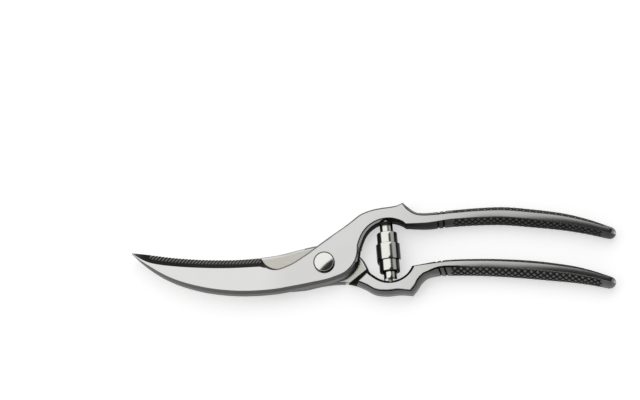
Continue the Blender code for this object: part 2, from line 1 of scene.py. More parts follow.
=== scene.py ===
"""Poultry shears: polished forged levers, a domed pivot and a double volute spring.

The pieces are surfaces in metres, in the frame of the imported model. The shears lie closed on their
back, with the blade tips towards -X and the pivot axis through the origin.
"""
import math

import bpy
import numpy as np
from bpy.props import FloatProperty, FloatVectorProperty, PointerProperty
from mathutils import Matrix, Vector


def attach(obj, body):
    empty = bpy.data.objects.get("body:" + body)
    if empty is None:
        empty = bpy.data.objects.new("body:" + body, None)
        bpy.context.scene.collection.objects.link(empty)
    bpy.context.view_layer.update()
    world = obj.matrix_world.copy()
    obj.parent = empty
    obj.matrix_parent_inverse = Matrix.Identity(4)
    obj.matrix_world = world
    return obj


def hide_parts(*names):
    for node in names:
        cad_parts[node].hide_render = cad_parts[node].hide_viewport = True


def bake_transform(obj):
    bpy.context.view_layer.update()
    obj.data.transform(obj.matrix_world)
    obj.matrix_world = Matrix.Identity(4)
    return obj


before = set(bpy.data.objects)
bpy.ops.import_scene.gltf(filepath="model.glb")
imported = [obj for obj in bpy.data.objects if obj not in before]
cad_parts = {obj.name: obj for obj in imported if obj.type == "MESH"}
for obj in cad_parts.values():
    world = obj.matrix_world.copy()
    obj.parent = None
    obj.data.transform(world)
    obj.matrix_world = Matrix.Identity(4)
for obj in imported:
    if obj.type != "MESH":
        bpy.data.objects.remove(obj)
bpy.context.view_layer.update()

bl_info = {
    "name": "Poultry shears",
    "version": (1, 0, 0),
    "blender": (4, 5, 0),
    "location": "View3D > Sidebar > Shears",
    "description": "Builds the levers, pivot and spring of a pair of poultry shears",
    "category": "Object",
}

# Stock and fits
STOCK = 0.0084
LAP_GAP = 0.0003
CLEARANCE = 0.0003
REAR_TOP = (STOCK - LAP_GAP) / 2
FRONT_BOTTOM = (STOCK + LAP_GAP) / 2

# Blades, measured from the pivot axis
BLADE_LENGTH = 0.1022
FRONT_TIP_THICKNESS = 0.0022
REAR_TIP_THICKNESS = 0.0020
EDGE_LAND = 0.0002
EDGE_BEVEL = 0.0055
REAR_BEVEL = 0.0040
SPINE_ROUND = 0.0023
EDGE_SOFTNESS = 0.4
# How many ribs before its root each blade reaches its full thickness
FRONT_FULL_RIBS = 2
REAR_FULL_RIBS = 3
TOOTH_PITCH = 0.0018
TOOTH_REACH = 0.6
TOOTH_VEE_SLOPE = 3
# Depth of the teeth at four places of the edge's side, and the painted highlight on their flanks at
# four depths
TOOTH_DEPTHS = ((2, 3, 4, 5), (0, 1, 1, 0))
TOOTH_PAINTED_HIGHLIGHT = ((0.0, 0.3, 0.85, 1.0), (0.0, 1.0, 1.0, 0.0))

# Front blade: share of the run from the notch to the tip, height of the cutting edge and of the spine
NOTCH_START = 0.0337
FRONT_TIP = ((1.000, 0.0057, 0.0047), (0.940, 0.0053, 0.0010))
FRONT_TEETH = (
    (0.860, 0.0047, -0.0033),
    (0.706, 0.0034, -0.0096),
    (0.478, 0.0023, -0.0150),
    (0.210, 0.0022, -0.0176),
    (0.000, 0.0030, -0.0175),
)
# Rear blade: share of the run from its root to the tip, height of the spine and of the cutting edge
REAR_ROOT = 0.0245
REAR_BLADE = (
    (0.987, 0.0051, 0.0043),
    (0.934, 0.0045, 0.0018),
    (0.842, 0.0035, -0.0014),
    (0.645, 0.0022, -0.0056),
    (0.421, 0.0019, -0.0098),
    (0.211, 0.0032, -0.0124),
    (0.000, 0.0055, -0.0149),
)

# Bone notch and the front lever's half of the lap joint: upper point, lower point
NOTCH_RIBS = (
    ((-0.0305, -0.0012), (-0.0290, -0.0171)),
    ((-0.0258, -0.0032), (-0.0240, -0.0165)),
    ((-0.0190, -0.0012), (-0.0165, -0.0151)),
    ((-0.0112, 0.0037), (-0.0060, -0.0129)),
)
FRONT_LAP_RIBS = (
    ((-0.0054, 0.0082), (0.0055, -0.0099)),
    ((-0.0012, 0.0115), (0.0131, -0.0061)),
    ((0.0014, 0.0135), (0.0172, -0.0004)),
)
FRONT_SHOULDER_FOOT = ((0.0027, 0.0145), (0.0186, 0.0072))
FRONT_SHOULDER_TOP = ((0.0032, 0.0149), (0.0186, 0.0078))
# The rear lever's half of the lap joint, as far as the foot of its shoulder
REAR_LAP_RIBS = (
    ((-0.0112, 0.0090), (-0.0105, -0.0135)),
    ((-0.0005, 0.0108), (-0.0005, -0.0112)),
    ((0.0110, 0.0080), (0.0060, -0.0103)),
    ((0.0187, 0.0040), (0.0102, -0.0101)),
)
REAR_SHOULDER_FOOT = ((0.0224, -0.0017), (0.0126, -0.0101))
REAR_SHOULDER_TOP = ((0.0236, -0.0046), (0.0170, -0.0113))

# Upper bow: an arch about its own centre. Angle in degrees, radius of the outer side
ARCH_CENTRE = (0.0333, 0.0087)
ARCH_RADIUS = 0.0141
ARCH_RIBS = (
    (163.6, 0.0287),
    (155.0, 0.0261),
    (145.4, 0.0245),
    (131.9, 0.0236),
    (117.3, 0.0225),
    (102.6, 0.0218),
    (89.7, 0.0220),
    (81.5, 0.0229),
)
ARCH_HORN = (74.9, 0.0250)
ARCH_NECK = ((68.2, 0.0239), (61.7, 0.0233))
ARCH_KINK = (54.7, 0.0234)

# Lower bow: a cradle about its own centre. Angle in degrees, radius of the outer side
CRADLE_CENTRE = (0.0339, 0.0031)
CRADLE_RADIUS = 0.0124
CRADLE_RIBS = ((-128.0, 0.0205), (-110.0, 0.0203), (-92.0, 0.0197), (-73.0, 0.0199))
CRADLE_HORN = (-57.5, 0.0230)
CRADLE_NECK = ((-47.5, 0.0219), (-39.0, 0.0214), (-29.0, 0.0222))
CRADLE_KINK = (-20.5, 0.0262)
# How far in from its edge the lower neck's outer side is rounded, before and at the kink
NECK_BULGES = (0.0031, 0.0051)
# Chamfers. Those of the arch and the shoulder fall by less than they go in
BOW_CHAMFER = 0.0011
CRADLE_CHAMFER = 0.0021
ARCH_CHAMFER = 0.0014
ARCH_DROP = 0.0010
SHOULDER_CHAMFER = 0.0020
SHOULDER_DROP = 0.0016
NECK_CHAMFER = 0.0018
SEAT_CHAMFER = 0.0016
NOTCH_CHAMFER = 0.0019

# Handles: share of the run from the neck to the end, height of the middle, share of the full width
HANDLE_LENGTH = 0.1500
HANDLE_WIDTH = 0.0096
HANDLE_DEPTH = 0.0082
HANDLE_END_ROUND = 0.0035
HANDLE_BACK = (STOCK - HANDLE_DEPTH) / 2
HANDLE_FRONT = HANDLE_BACK + HANDLE_DEPTH
GRIP_LEAN = math.radians(62.0)
# How far in from its edge each handle's upper and lower side is rounded
UPPER_INSETS = (0.0030, 0.0036)
LOWER_INSETS = (0.0023, 0.0047)
UPPER_NECK_X = 0.0500
UPPER_HANDLE = (
    (0.000, 0.0235, 0.88),
    (0.160, 0.0250, 0.92),
    (0.295, 0.0260, 0.96),
    (0.430, 0.0264, 1.00),
    (0.590, 0.0252, 0.99),
    (0.780, 0.0229, 0.91),
    (0.900, 0.0203, 0.78),
    (1.000, 0.0175, 0.64),
)
LOWER_NECK_X = 0.0630
LOWER_HANDLE = (
    (0.000, -0.0018, 0.84),
    (0.180, -0.0013, 0.92),
    (0.350, -0.0016, 0.97),
    (0.510, -0.0024, 1.00),
    (0.670, -0.0037, 0.97),
    (0.800, -0.0051, 0.89),
    (0.905, -0.0069, 0.77),
    (1.000, -0.0090, 0.64),
)
# Grooves round the start of each grip, and the run of the checkering behind them
RING_GROOVES = (0.0586, 0.0615)
RING_WIDTH = 0.0013
RING_LEAN = 0.367
CHECKER_START = 0.0652
CHECKER_END = 0.1440
CHECKER_FADE = 0.0015
CHECKER_VEE = 0.62
CHECKER_BORDER = 0.25
# Painted shade over the grip's side, and in the bottom of the checkering
GRIP_SHADE = 0.18
CHECKER_SHADE = 0.8
# The handles' fronts roll over in two stretches: drop, x where it begins and x where it is reached
GRIP_ROLLS = ((0.00032, 0.046, 0.088), (0.00032, 0.092, 0.145))
ROLL_STRAIGHT = 0.6
ROLL_CURVED = 0.4

# Pivot: a domed bolt in a sleeve nut, with a friction washer under the nut's flange
HEAD_RADIUS = 0.0055
HEAD_RIM = 0.0013
HEAD_DOME = 0.0011
HEAD_EDGE = 0.0006
DISH_DEPTH = 0.00028
DISH_SLOPE = 0.0030
HEAD_SUNK = 0.0001
HEAD_SEAT = STOCK - HEAD_SUNK
BOLT_SHANK_RADIUS = 0.0018
BARREL_RADIUS = 0.0032
BORE_RADIUS = BARREL_RADIUS + CLEARANCE
FLANGE_RADIUS = 0.0050
FLANGE_THICKNESS = 0.0012
NUT_FLOOR = 0.0008
WASHER_BACK = FLANGE_THICKNESS + CLEARANCE
WASHER_THICKNESS = 0.0005
RECESS_FLOOR = WASHER_BACK + WASHER_THICKNESS + CLEARANCE
SPANNER_HOLE_RADIUS = 0.0007
SPANNER_HOLE_OFFSET = 0.0035
SPANNER_HOLE_DEPTH = 0.0006

# Volute spring and the pegs that hold its ends
STRIP_WIDTH = 0.0088
STRIP_THICKNESS = 0.00045
TURN_GAP = 0.00045
INNER_STEP = 0.00095
SPRING_RADIUS = 0.0062
SPRING_TURNS = 3.3
STAGE_RISE = 0.0060
SPRING_DROP = 0.0010
JOG_TURNS = 0.25
LEVEL_TURNS = 0.2
CLIMB_TURNS = 0.4
END_CLIMB_TURNS = 0.5
SPRING_BACK = 0.0001
SPRING_AXIS_Z = SPRING_RADIUS + SPRING_BACK
UPPER_SEAT_ANGLE = 98.5
LOWER_SEAT_ANGLE = -86.0
PEG_RADIUS = 0.0012
PEG_SUNK = 0.0035
PEG_PROUD = 0.0045
PEG_NOSE = 0.0005

# Fineness of the surfaces
FLAT_MARGIN = 0.0005
SECTION_FILL = 0.97
SQUEEZE_POWER = 8
CORNER_SHARE = 0.24
CORNER_FINENESS = (-1, -0.5, 0, 0.5, 1)
BETWEEN_CORNERS = (0.37, 0.5, 0.63)
FLAT_COLUMNS = 8
FINENESS = 5
RIB_STEPS = 3
BLADE_STEPS = 4
ROOT_STEPS = 8
SHOULDER_STEPS = 1
BOW_STEPS = 2
TOOTH_STEPS = 6
GRIP_STEP = 0.00025
END_RINGS = 14
END_TURN = 89
TURN_STEPS = 128
DOME_POINTS = 33
HEAD_EDGE_BEND = (25, 90)
HEAD_EDGE_POINTS = 9
DISH_POINTS = 13
STRIP_POINTS = 96
STRIP_EDGE_POINTS = 7
SHARP_ANGLE = math.radians(26.0)
CUT_OVERRUN = 0.002

# Ends of a rib: the side of a lever towards +Y and the side towards -Y
UPPER, LOWER = range(2)
# Places of the first and last corner along a side, and of its middle
FIRST_CORNER, LAST_CORNER = 1, 6
SIDE_SPAN = LAST_CORNER - FIRST_CORNER
MIDDLE_PLACE = (FIRST_CORNER + LAST_CORNER) / 2

# Finishes of a lever, in the order of its material slots
FACE, SIDE, BEVEL, LAP = range(4)
# Ribs past the teeth where the notch keeps the bevel's painted dark reflection, and before the rear
# shoulder where the lap's wall gets the lighter lap finish as a painted reflection
NOTCH_SHADE = 2.0
LAP_SHINE = 0.8
# Places of the ground bevel on each cutting side, and how many ribs short of the lap the rear one ends
FRONT_BEVEL_PLACES = (1, 3)
REAR_BEVEL_PLACES = (4, 6)
REAR_BEVEL_SHORT = 0.5
# Bright inner chamfer of the arch: ribs past its first between which a stretch runs, and its places
BRIGHT_STRIPS = (
    ((-3.6, -3.0), (1.2, 1.4)),
    ((-3.0, -2.2), (1.2, 1.6)),
    ((-2.2, 5.0), (1.3, 1.8)),
)
# Painted shade on the inner wall of a bow and on along the handle, how many ribs before the bow it
# begins on each lever, and the width in places of the painted dark line on the opposite rim
BOW_PAINTED_SHADE = (0.75, 0.42)
ARCH_LEAD = 4
CRADLE_LEAD = 2
RIM_LINE = 0.3

# Steel finishes: least and greatest roughness, polishing lines to the metre and their height
STEELS = {
    "polished_face": (0.165, 0.175, 9000.0, 0.0000002),
    "satin_side": (0.55, 0.68, 5000.0, 0.00001),
    "ground_bevel": (0.24, 0.32, 4000.0, 0.000005),
    "ground_lap": (0.26, 0.34, 4000.0, 0.000004),
    "bright_bolt": (0.12, 0.17, 6000.0, 0.0000003),
    "turned_steel": (0.28, 0.36, 5000.0, 0.00002),
    "spring_strip": (0.10, 0.15, 7000.0, 0.0000005),
}
# Painted light falloff: the faces are painted brighter on the blades and darker towards the handle
# ends: x where the change begins, x where it ends, and the share of the colour there
PAINTED_LIGHT_FALLOFF = ((-0.015, -0.036, 1.11), (0.015, 0.115, 0.70))
WARM_SHARES = (1.0, 0.995, 0.985)
COOL_SHARES = (1.01, 1.015, 1.02)
CLOUD_RANGE = (0.35, 0.65)
STREAK_RANGE = (0.3, 0.7)
ROUGH_RANGE = (0.25, 0.75)
RELIEF_STRENGTH = 0.5
NOISE_DETAIL = 3.0
SCRATCH_ROUGHNESS = 0.06
SCRATCH_TURN = (0.0, 0.0, 0.5)
SCRATCH_STRETCH = (40.0, 260.0, 260.0)
SCRATCH_WIDTH = 0.03
SCRATCH_PATCHES = (0.5, 0.62)
# Painted light mask: share of the clouds added to it as wear, the range over which it brings in its
# colour, and the roughness it adds
PAINTED_LIGHT_WEAR = 0.2
PAINTED_LIGHT_RANGE = (0.15, 0.95)
PAINTED_LIGHT_ROUGHNESS = 0.2
# The spring has painted shade at its upper end, and on its sides and its back, wider on the left
SPRING_DARK_END = 0.0026
SPRING_SHADE = 0.0004
SIDE_SHADE_FROM = 0.62
SIDE_SHADE_SPREAD = 0.16
SIDE_SHADE_LEFT = 0.18

# Room light: the sky is bright on this side, the walls are grey and the rest of the ceiling is dim
WINDOW_SIDE = (-0.691, 0.721, -0.047)
WINDOW_BLUR = 0.045
HORIZON = (0.16, 0.42)
CEILING = (0.60, 0.80)

# Floor: its shine is seen only by the camera and in reflections
FLOOR_HALF = 6.0
FLOOR_DROP = 0.0002
FLOOR_ROUGHNESS = 0.9
FLOOR_LIFT = 0.54

# Camera: the ways back from the shears and to the right, the point it aims at and its distance
CAMERA_BACK = (0.1272, -0.2997, 0.9455)
CAMERA_RIGHT = (0.9919, 0.0384, -0.1213)
CAMERA_AIM = (-0.0046, 0.03655, 0.0)
CAMERA_DISTANCE = 1.2
CAMERA_SENSOR = 36.0
CAMERA_NEAR = 0.01


class ShearsForm(bpy.types.PropertyGroup):
    """Sizes of the fine forms that are worked into the steel."""

    tooth_depth: FloatProperty(
        name="Tooth depth", description="Depth of the serration at the cutting edge",
        default=0.0003, min=0.0, unit="LENGTH",
    )
    tooth_lean: FloatProperty(
        name="Tooth lean", description="How far a tooth's groove leans along the blade",
        default=-0.0016, unit="LENGTH",
    )
    checker_along: FloatProperty(
        name="Diamond length", description="Pitch of the checkering along the handle",
        default=0.0033, min=0.0005, unit="LENGTH",
    )
    checker_across: FloatProperty(
        name="Diamond height", description="Pitch of the checkering round the handle",
        default=0.0020, min=0.0005, unit="LENGTH",
    )
    checker_depth: FloatProperty(
        name="Checkering depth", description="Depth of the grooves between the diamonds",
        default=0.00032, min=0.0, unit="LENGTH",
    )
    ring_depth: FloatProperty(
        name="Ring groove depth", description="Depth of the two grooves ahead of the checkering",
        default=0.0005, min=0.0, unit="LENGTH",
    )


class ShearsFinish(bpy.types.PropertyGroup):
    """Colours of the steel finishes."""

    face: FloatVectorProperty(
        name="Polished face", description="Polished flats of the levers",
        subtype="COLOR", default=(0.64, 0.638, 0.63), min=0.0, max=1.0,
    )
    # Darker than the faces: partly the walls' own satin finish, partly painted dark reflection
    side: FloatVectorProperty(
        name="Satin side", description="Walls and spines of the levers",
        subtype="COLOR", default=(0.26, 0.26, 0.257), min=0.0, max=1.0,
    )
    # Painted shade, brought in by the mask of painted light in the grooves, on the bow walls and rim
    # lines, round the bolt's head and on the spring
    painted_shade: FloatVectorProperty(
        name="Dark hollows", description="Grooves of the checkering and the teeth",
        subtype="COLOR", default=(0.022, 0.022, 0.021), min=0.0, max=1.0,
    )
    # The bevel's near-black colour is painted dark reflection
    bevel: FloatVectorProperty(
        name="Ground bevel", description="Ground bevel of the cutting edges",
        subtype="COLOR", default=(0.024, 0.024, 0.0235), min=0.0, max=1.0,
    )
    # Painted highlight on the flanks of the teeth
    tooth: FloatVectorProperty(
        name="Teeth", description="Bright grooves of the serration",
        subtype="COLOR", default=(0.24, 0.24, 0.236), min=0.0, max=1.0,
    )
    lap: FloatVectorProperty(
        name="Lap face", description="Ground faces on which the levers slide",
        subtype="COLOR", default=(0.56, 0.55, 0.50), min=0.0, max=1.0,
    )
    spring: FloatVectorProperty(
        name="Spring steel", description="Strip of the volute spring",
        subtype="COLOR", default=(0.78, 0.775, 0.72), min=0.0, max=1.0,
    )
    bolt: FloatVectorProperty(
        name="Bolt", description="Polished head of the pivot bolt",
        subtype="COLOR", default=(0.78, 0.78, 0.75), min=0.0, max=1.0,
    )
    plain: FloatVectorProperty(
        name="Turned steel", description="Nut and washer of the pivot",
        subtype="COLOR", default=(0.40, 0.40, 0.39), min=0.0, max=1.0,
    )


class ShearsStage(bpy.types.PropertyGroup):
    """Light, floor and camera."""

    floor: FloatVectorProperty(
        name="Floor", description="Colour of the floor",
        subtype="COLOR", default=(0.86, 0.86, 0.86), min=0.0, max=1.0,
    )
    world: FloatProperty(
        name="Sky", description="Brightness of the bright half of the sky",
        default=1.05, min=0.0,
    )
    walls: FloatProperty(
        name="Walls", description="Brightness of the room's walls",
        default=0.42, min=0.0,
    )
    ceiling: FloatProperty(
        name="Dim ceiling", description="Brightness of the dim half of the ceiling",
        default=0.03, min=0.0,
    )
    lens: FloatProperty(
        name="Lens", description="Focal length of the camera", default=128.2, min=1.0, unit="CAMERA",
    )


# Cross-sections. A side of a lever has eight control points, from a margin on the front face round
# its six corners to a margin on the back: the distance in from the lever's edge, and the height.


def side_places():
    """Places of a side's points along its control points 0 to 7, crowded round the corners."""
    corner = np.arange(FIRST_CORNER, LAST_CORNER + 1)[:, None]
    near = corner + CORNER_SHARE * np.array(CORNER_FINENESS)
    between = corner[:-1] + np.array(BETWEEN_CORNERS)
    ends = [FIRST_CORNER - 1, LAST_CORNER + 1]
    return np.sort(np.concatenate([ends, near.ravel(), between.ravel()]))


def ring_places(places):
    """Side place of every point of a ring, and the side it is on; neither on the flats."""
    flat = np.full(FLAT_COLUMNS - 1, np.nan)
    place = np.concatenate([places, flat, places[::-1], flat])
    side = np.concatenate([np.full(len(places), UPPER), flat, np.full(len(places), LOWER), flat])
    return place, side


PLACES = side_places()
RING_PLACE, RING_SIDE = ring_places(PLACES)
ON_SIDE = (RING_PLACE >= FIRST_CORNER) & (RING_PLACE <= LAST_CORNER)


def soft_side(controls, soft):
    """Straight lines between control points, with each corner k drawn in by its softness.

    Between corners a point is (1 - f) P(k) + f P(k + 1). Within CORNER_SHARE of corner k it moves by
    soft(k) towards the parabola that leaves one line and joins the next.
    """
    controls = np.array(controls)
    first, last = controls[0] + (FLAT_MARGIN, 0), controls[-1] + (FLAT_MARGIN, 0)
    points = np.vstack([first, controls, last])
    index = np.arange(len(points))
    line = np.column_stack([np.interp(PLACES, index, column) for column in points.T])
    corner = np.clip(np.rint(PLACES), FIRST_CORNER, LAST_CORNER).astype(int)
    share = np.clip((PLACES - corner) / CORNER_SHARE, -1, 1)
    before = points[corner] + CORNER_SHARE * (points[corner - 1] - points[corner])
    after = points[corner] + CORNER_SHARE * (points[corner + 1] - points[corner])
    s = ((share + 1) / 2)[:, None]
    curve = before * (1 - s) ** 2 + points[corner] * 2 * s * (1 - s) + after * s**2
    near = (np.abs(share) < 1) * np.array(soft)[corner - 1]
    return line + near[:, None] * (curve - line)


def edge_side(bevel, top, bottom):
    """A cutting edge on the blade's flat, with its bevel rising to the front face."""
    rise = top - bottom - EDGE_LAND
    controls = (
        (bevel, top),
        (bevel * TOOTH_REACH, bottom + EDGE_LAND + rise * TOOTH_REACH),
        (0.0, bottom + EDGE_LAND),
        (0.0, bottom),
        (bevel / 3, bottom),
        (bevel * 2 / 3, bottom),
    )
    return soft_side(controls, (EDGE_SOFTNESS, 0, 0, 0, 0, 0))


def wall_side(chamfer, top, bottom, drop=None):
    """An upright wall with a softened chamfer at the front and at the back.

    The front chamfer falls by the drop, or by as much as it goes in.
    """
    third = (top - bottom) / 3
    controls = (
        (chamfer, top),
        (0.0, top - (drop or chamfer)),
        (0.0, top - third),
        (0.0, bottom + third),
        (0.0, bottom + chamfer),
        (chamfer, bottom),
    )
    return soft_side(controls, (1, 1, 1, 1, 1, 1))


def spine_side(radius, top, bottom):
    """A rounded spine, softer at the front than on the blade's flat."""
    soft = radius / 2
    cut = 1 - math.sqrt(0.5)
    controls = (
        (radius, top),
        (radius * cut, top - radius * cut),
        (0.0, top - radius),
        (0.0, bottom + soft),
        (soft * cut, bottom + soft * cut),
        (soft, bottom),
    )
    return soft_side(controls, (1, 1, 1, 1, 1, 1))


def grip_side(inset, top, bottom):
    """A handle side: an arc over twice the lean that leaves the flats at a crisp edge.

    At turn a from the middle, the inset is inset (1 - cos a) / (1 - cos lean) and the height goes
    with sin a / sin lean.
    """
    turn = GRIP_LEAN * (1 - 2 * np.clip((PLACES - FIRST_CORNER) / SIDE_SPAN, 0, 1))
    bulge = (1 - np.cos(turn)) / (1 - math.cos(GRIP_LEAN))
    height = (top + bottom) / 2 + (top - bottom) / 2 * np.sin(turn) / math.sin(GRIP_LEAN)
    past = np.clip(FIRST_CORNER - PLACES, 0, 1) + np.clip(PLACES - LAST_CORNER, 0, 1)
    margin = FLAT_MARGIN * past
    return np.column_stack([inset * bulge + margin, height])


def flipped(side, top, bottom):
    """The same side with its front and back exchanged."""
    return np.column_stack([side[::-1, 0], top + bottom - side[::-1, 1]])


def rib(upper, lower, steps=RIB_STEPS, sides=None, upper_corner=False, lower_corner=False):
    """A pair of points across a lever, with the section there and the steps to the next pair."""
    return {
        "ends": (upper, lower),
        "steps": steps * FINENESS,
        "sides": sides,
        "corners": (upper_corner, lower_corner),
    }


def edge_curve(ribs, end):
    """A cubic Hermite curve through one end of every rib, broken where that end is a corner.

    The slope at a rib is the mean of the slopes beside it, each weighed by the other's length.
    """
    points = np.array([r["ends"][end] for r in ribs])
    corner = [r["corners"][end] for r in ribs]
    chord = np.diff(points, axis=0)
    length = np.linalg.norm(chord, axis=1)[:, None]
    slope = chord / length
    inner = (slope[:-1] * length[1:] + slope[1:] * length[:-1]) / (length[:-1] + length[1:])
    tangent = np.vstack([slope[:1], inner, slope[-1:]])
    pieces = []
    for i, here in enumerate(ribs[:-1]):
        t = (np.arange(here["steps"]) / here["steps"])[:, None]
        leave = length[i] * (slope[i] if corner[i] else tangent[i])
        arrive = length[i] * (slope[i] if corner[i + 1] else tangent[i + 1])
        pieces.append(
            points[i] * (1 + 2 * t) * (1 - t) ** 2
            + points[i + 1] * t * t * (3 - 2 * t)
            + leave * t * (1 - t) ** 2
            - arrive * t * t * (1 - t)
        )
    return np.vstack(pieces + [points[-1:]])


def stations(ribs):
    """Upper and lower edge points, and the rib count reached, at every step along a lever."""
    reached = [i + np.arange(r["steps"]) / r["steps"] for i, r in enumerate(ribs[:-1])]
    reached = np.concatenate(reached + [[len(ribs) - 1.0]])
    return np.column_stack([edge_curve(ribs, UPPER), edge_curve(ribs, LOWER), reached])


def travelled(points):
    """Distance covered along a row of points."""
    steps = np.linalg.norm(np.diff(points, axis=0), axis=-1)
    return np.concatenate([np.zeros((1,) + steps.shape[1:]), np.cumsum(steps, axis=0)])


def evenly(track, first, last, pitch, steps):
    """Space the stations between two ribs evenly along the upper edge, some to each whole pitch."""
    reached = track[:, 4]
    run = track[(reached >= first) & (reached <= last)]
    travel = travelled(run[:, :2])
    wanted = np.linspace(0, travel[-1], round(travel[-1] / pitch) * steps + 1)
    even = np.column_stack([np.interp(wanted, travel, column) for column in run.T])
    return np.vstack([track[reached < first], even, track[reached > last]])


def stations_to(track, last):
    """How many stations lie before or at a rib count."""
    return int(np.count_nonzero(track[:, 4] <= last))


def sections(track, ribs):
    """Rings over a lever's track: the sides of the ribs blended in between, and the flats.

    A ring runs down the upper side, across the back, up the lower side and across the front.
    """
    given = [i for i, r in enumerate(ribs) if r["sides"] is not None]
    table = np.array([ribs[i]["sides"] for i in given])
    place = np.interp(track[:, 4], given, np.arange(len(given)))
    low = np.minimum(place.astype(int), len(given) - 2)
    share = (place - low)[:, None, None, None]
    sides = table[low] * (1 - share) + table[low + 1] * share
    upper, lower = track[:, 0:2], track[:, 2:4]
    width = np.linalg.norm(lower - upper, axis=1)
    across = (lower - upper) / width[:, None]
    deepest = sides[:, 0, :, 0].max(axis=1) + sides[:, 1, :, 0].max(axis=1)
    room = SECTION_FILL * width / deepest
    squeeze = room / (1 + room**SQUEEZE_POWER) ** (1 / SQUEEZE_POWER)
    inset = sides[..., 0] * squeeze[:, None, None]
    first = np.dstack([upper[:, None] + inset[:, 0, :, None] * across[:, None], sides[:, 0, :, 1]])
    second = np.dstack([lower[:, None] - inset[:, 1, :, None] * across[:, None], sides[:, 1, :, 1]])
    second = second[:, ::-1]
    mix = (np.arange(1, FLAT_COLUMNS) / FLAT_COLUMNS)[None, :, None]
    back = first[:, -1:] * (1 - mix) + second[:, :1] * mix
    front = second[:, -1:] * (1 - mix) + first[:, :1] * mix
    return np.concatenate([first, back, second, front], axis=1), across


def outward(rings):
    """Unit normals of a surface of rings: the cross product of its two directions."""
    along = np.gradient(rings, axis=0)
    around = np.roll(rings, -1, axis=1) - np.roll(rings, 1, axis=1)
    normal = np.cross(along, around)
    normal /= np.maximum(np.linalg.norm(normal, axis=-1, keepdims=True), 1e-12)
    return normal


def cut_teeth(rings, across, track, first, last, form):
    """Cut slanting vee grooves into the front blade's bevel; returns a mask of painted highlight on
    their flanks.

    Depth falls from the edge to nothing at the end of the teeth. Along the edge it is a vee one
    third of a pitch wide to each side, moved by the lean up the bevel.
    """
    reach = np.where(RING_SIDE == UPPER, np.interp(RING_PLACE, *TOOTH_DEPTHS), 0.0)
    inside = np.flatnonzero((track[:, 4] >= first) & (track[:, 4] <= last))
    along = travelled(track[inside, :2])
    turns = round(along[-1] / TOOTH_PITCH) / along[-1]
    phase = (along[:, None] - form.tooth_lean * (1 - reach)) * turns
    vee = np.clip(1 - np.abs(phase % 1 - 0.5) * TOOTH_VEE_SLOPE, 0, 1)
    depth = np.zeros(rings.shape[:2])
    depth[inside] = vee * reach
    rings[..., :2] += form.tooth_depth * depth[..., None] * across[:, None]
    bright = np.zeros(rings.shape[:2])
    bright[inside] = vee * np.interp(reach, *TOOTH_PAINTED_HIGHLIGHT)
    return bright


def cut_grip(rings, form, lean):
    """Cut the ring grooves and the checkering into both handle sides; returns painted shade, darkest
    in the grooves and light over the grip's side.

    With u along the handle and v round its side, the grooves of the checkering are vees where
    u / length + v / height or u / length - v / height is a whole number. The ring grooves follow
    x + lean y.
    """
    normal = outward(rings)
    middle = rings.mean(axis=1)
    x = middle[:, 0]
    off_middle = np.nan_to_num(RING_PLACE, nan=MIDDLE_PLACE) - MIDDLE_PLACE
    round_side = off_middle / SIDE_SPAN * 2 * GRIP_LEAN * HANDLE_DEPTH
    v = round_side / (2 * math.sin(GRIP_LEAN)) / form.checker_across
    u = travelled(middle)[:, None] / form.checker_along
    slant = [np.abs((u + sign * v) % 1 - 0.5) * 2 / CHECKER_VEE for sign in (-1, 1)]
    vees = [np.clip(1 - away, 0, 1) for away in slant]
    to_edge = SIDE_SPAN / 2 - np.abs(np.nan_to_num(RING_PLACE) - MIDDLE_PLACE)
    border = np.clip(to_edge / CHECKER_BORDER, 0, 1)
    begun = np.clip((x - CHECKER_START) / CHECKER_FADE, 0, 1)
    run = begun * np.clip((CHECKER_END - x) / CHECKER_FADE, 0, 1)
    checker = np.maximum(*vees) * border * run[:, None]
    reached = rings[..., 0] + lean * rings[..., 1]
    bell = [np.clip(1 - ((reached - at) * 2 / RING_WIDTH) ** 2, 0, 1) for at in RING_GROOVES]
    ring = np.maximum(*bell) * np.where(ON_SIDE, 1.0, 0.0)
    rings -= normal * (form.checker_depth * checker + form.ring_depth * ring)[..., None]
    grip = border * np.clip((reached - RING_GROOVES[0]) / RING_WIDTH, 0, 1)
    return np.clip(GRIP_SHADE * grip + CHECKER_SHADE * checker + ring, 0, 1)


def roll_grip(rings):
    """Roll a handle's front over towards its lower side, more and more to the end.

    At share t of the way across the front the drop is roll (straight t + curved t^2), and the lower
    side closes up to it from mid height.
    """
    edge = RING_PLACE == FIRST_CORNER
    upper = rings[:, np.flatnonzero(edge & (RING_SIDE == UPPER))]
    lower = rings[:, np.flatnonzero(edge & (RING_SIDE == LOWER))]
    way = lower[..., :2] - upper[..., :2]
    share = ((rings[..., :2] - upper[..., :2]) * way).sum(axis=-1) / (way**2).sum(axis=-1)
    share = np.clip(share, 0, 1)
    rise = (rings[..., 2] - STOCK / 2) / (upper[..., 2] - STOCK / 2)
    kept = (RING_SIDE == UPPER) & (RING_PLACE > FIRST_CORNER)
    weight = np.where(kept, 0.0, np.clip(rise, 0, 1))
    x = rings.mean(axis=1)[:, 0]
    roll = sum(drop * ease((x - start) / (end - start)) for drop, start, end in GRIP_ROLLS)
    bend = ROLL_STRAIGHT * share + ROLL_CURVED * share**2
    rings[..., 2] -= roll[:, None] * weight * bend


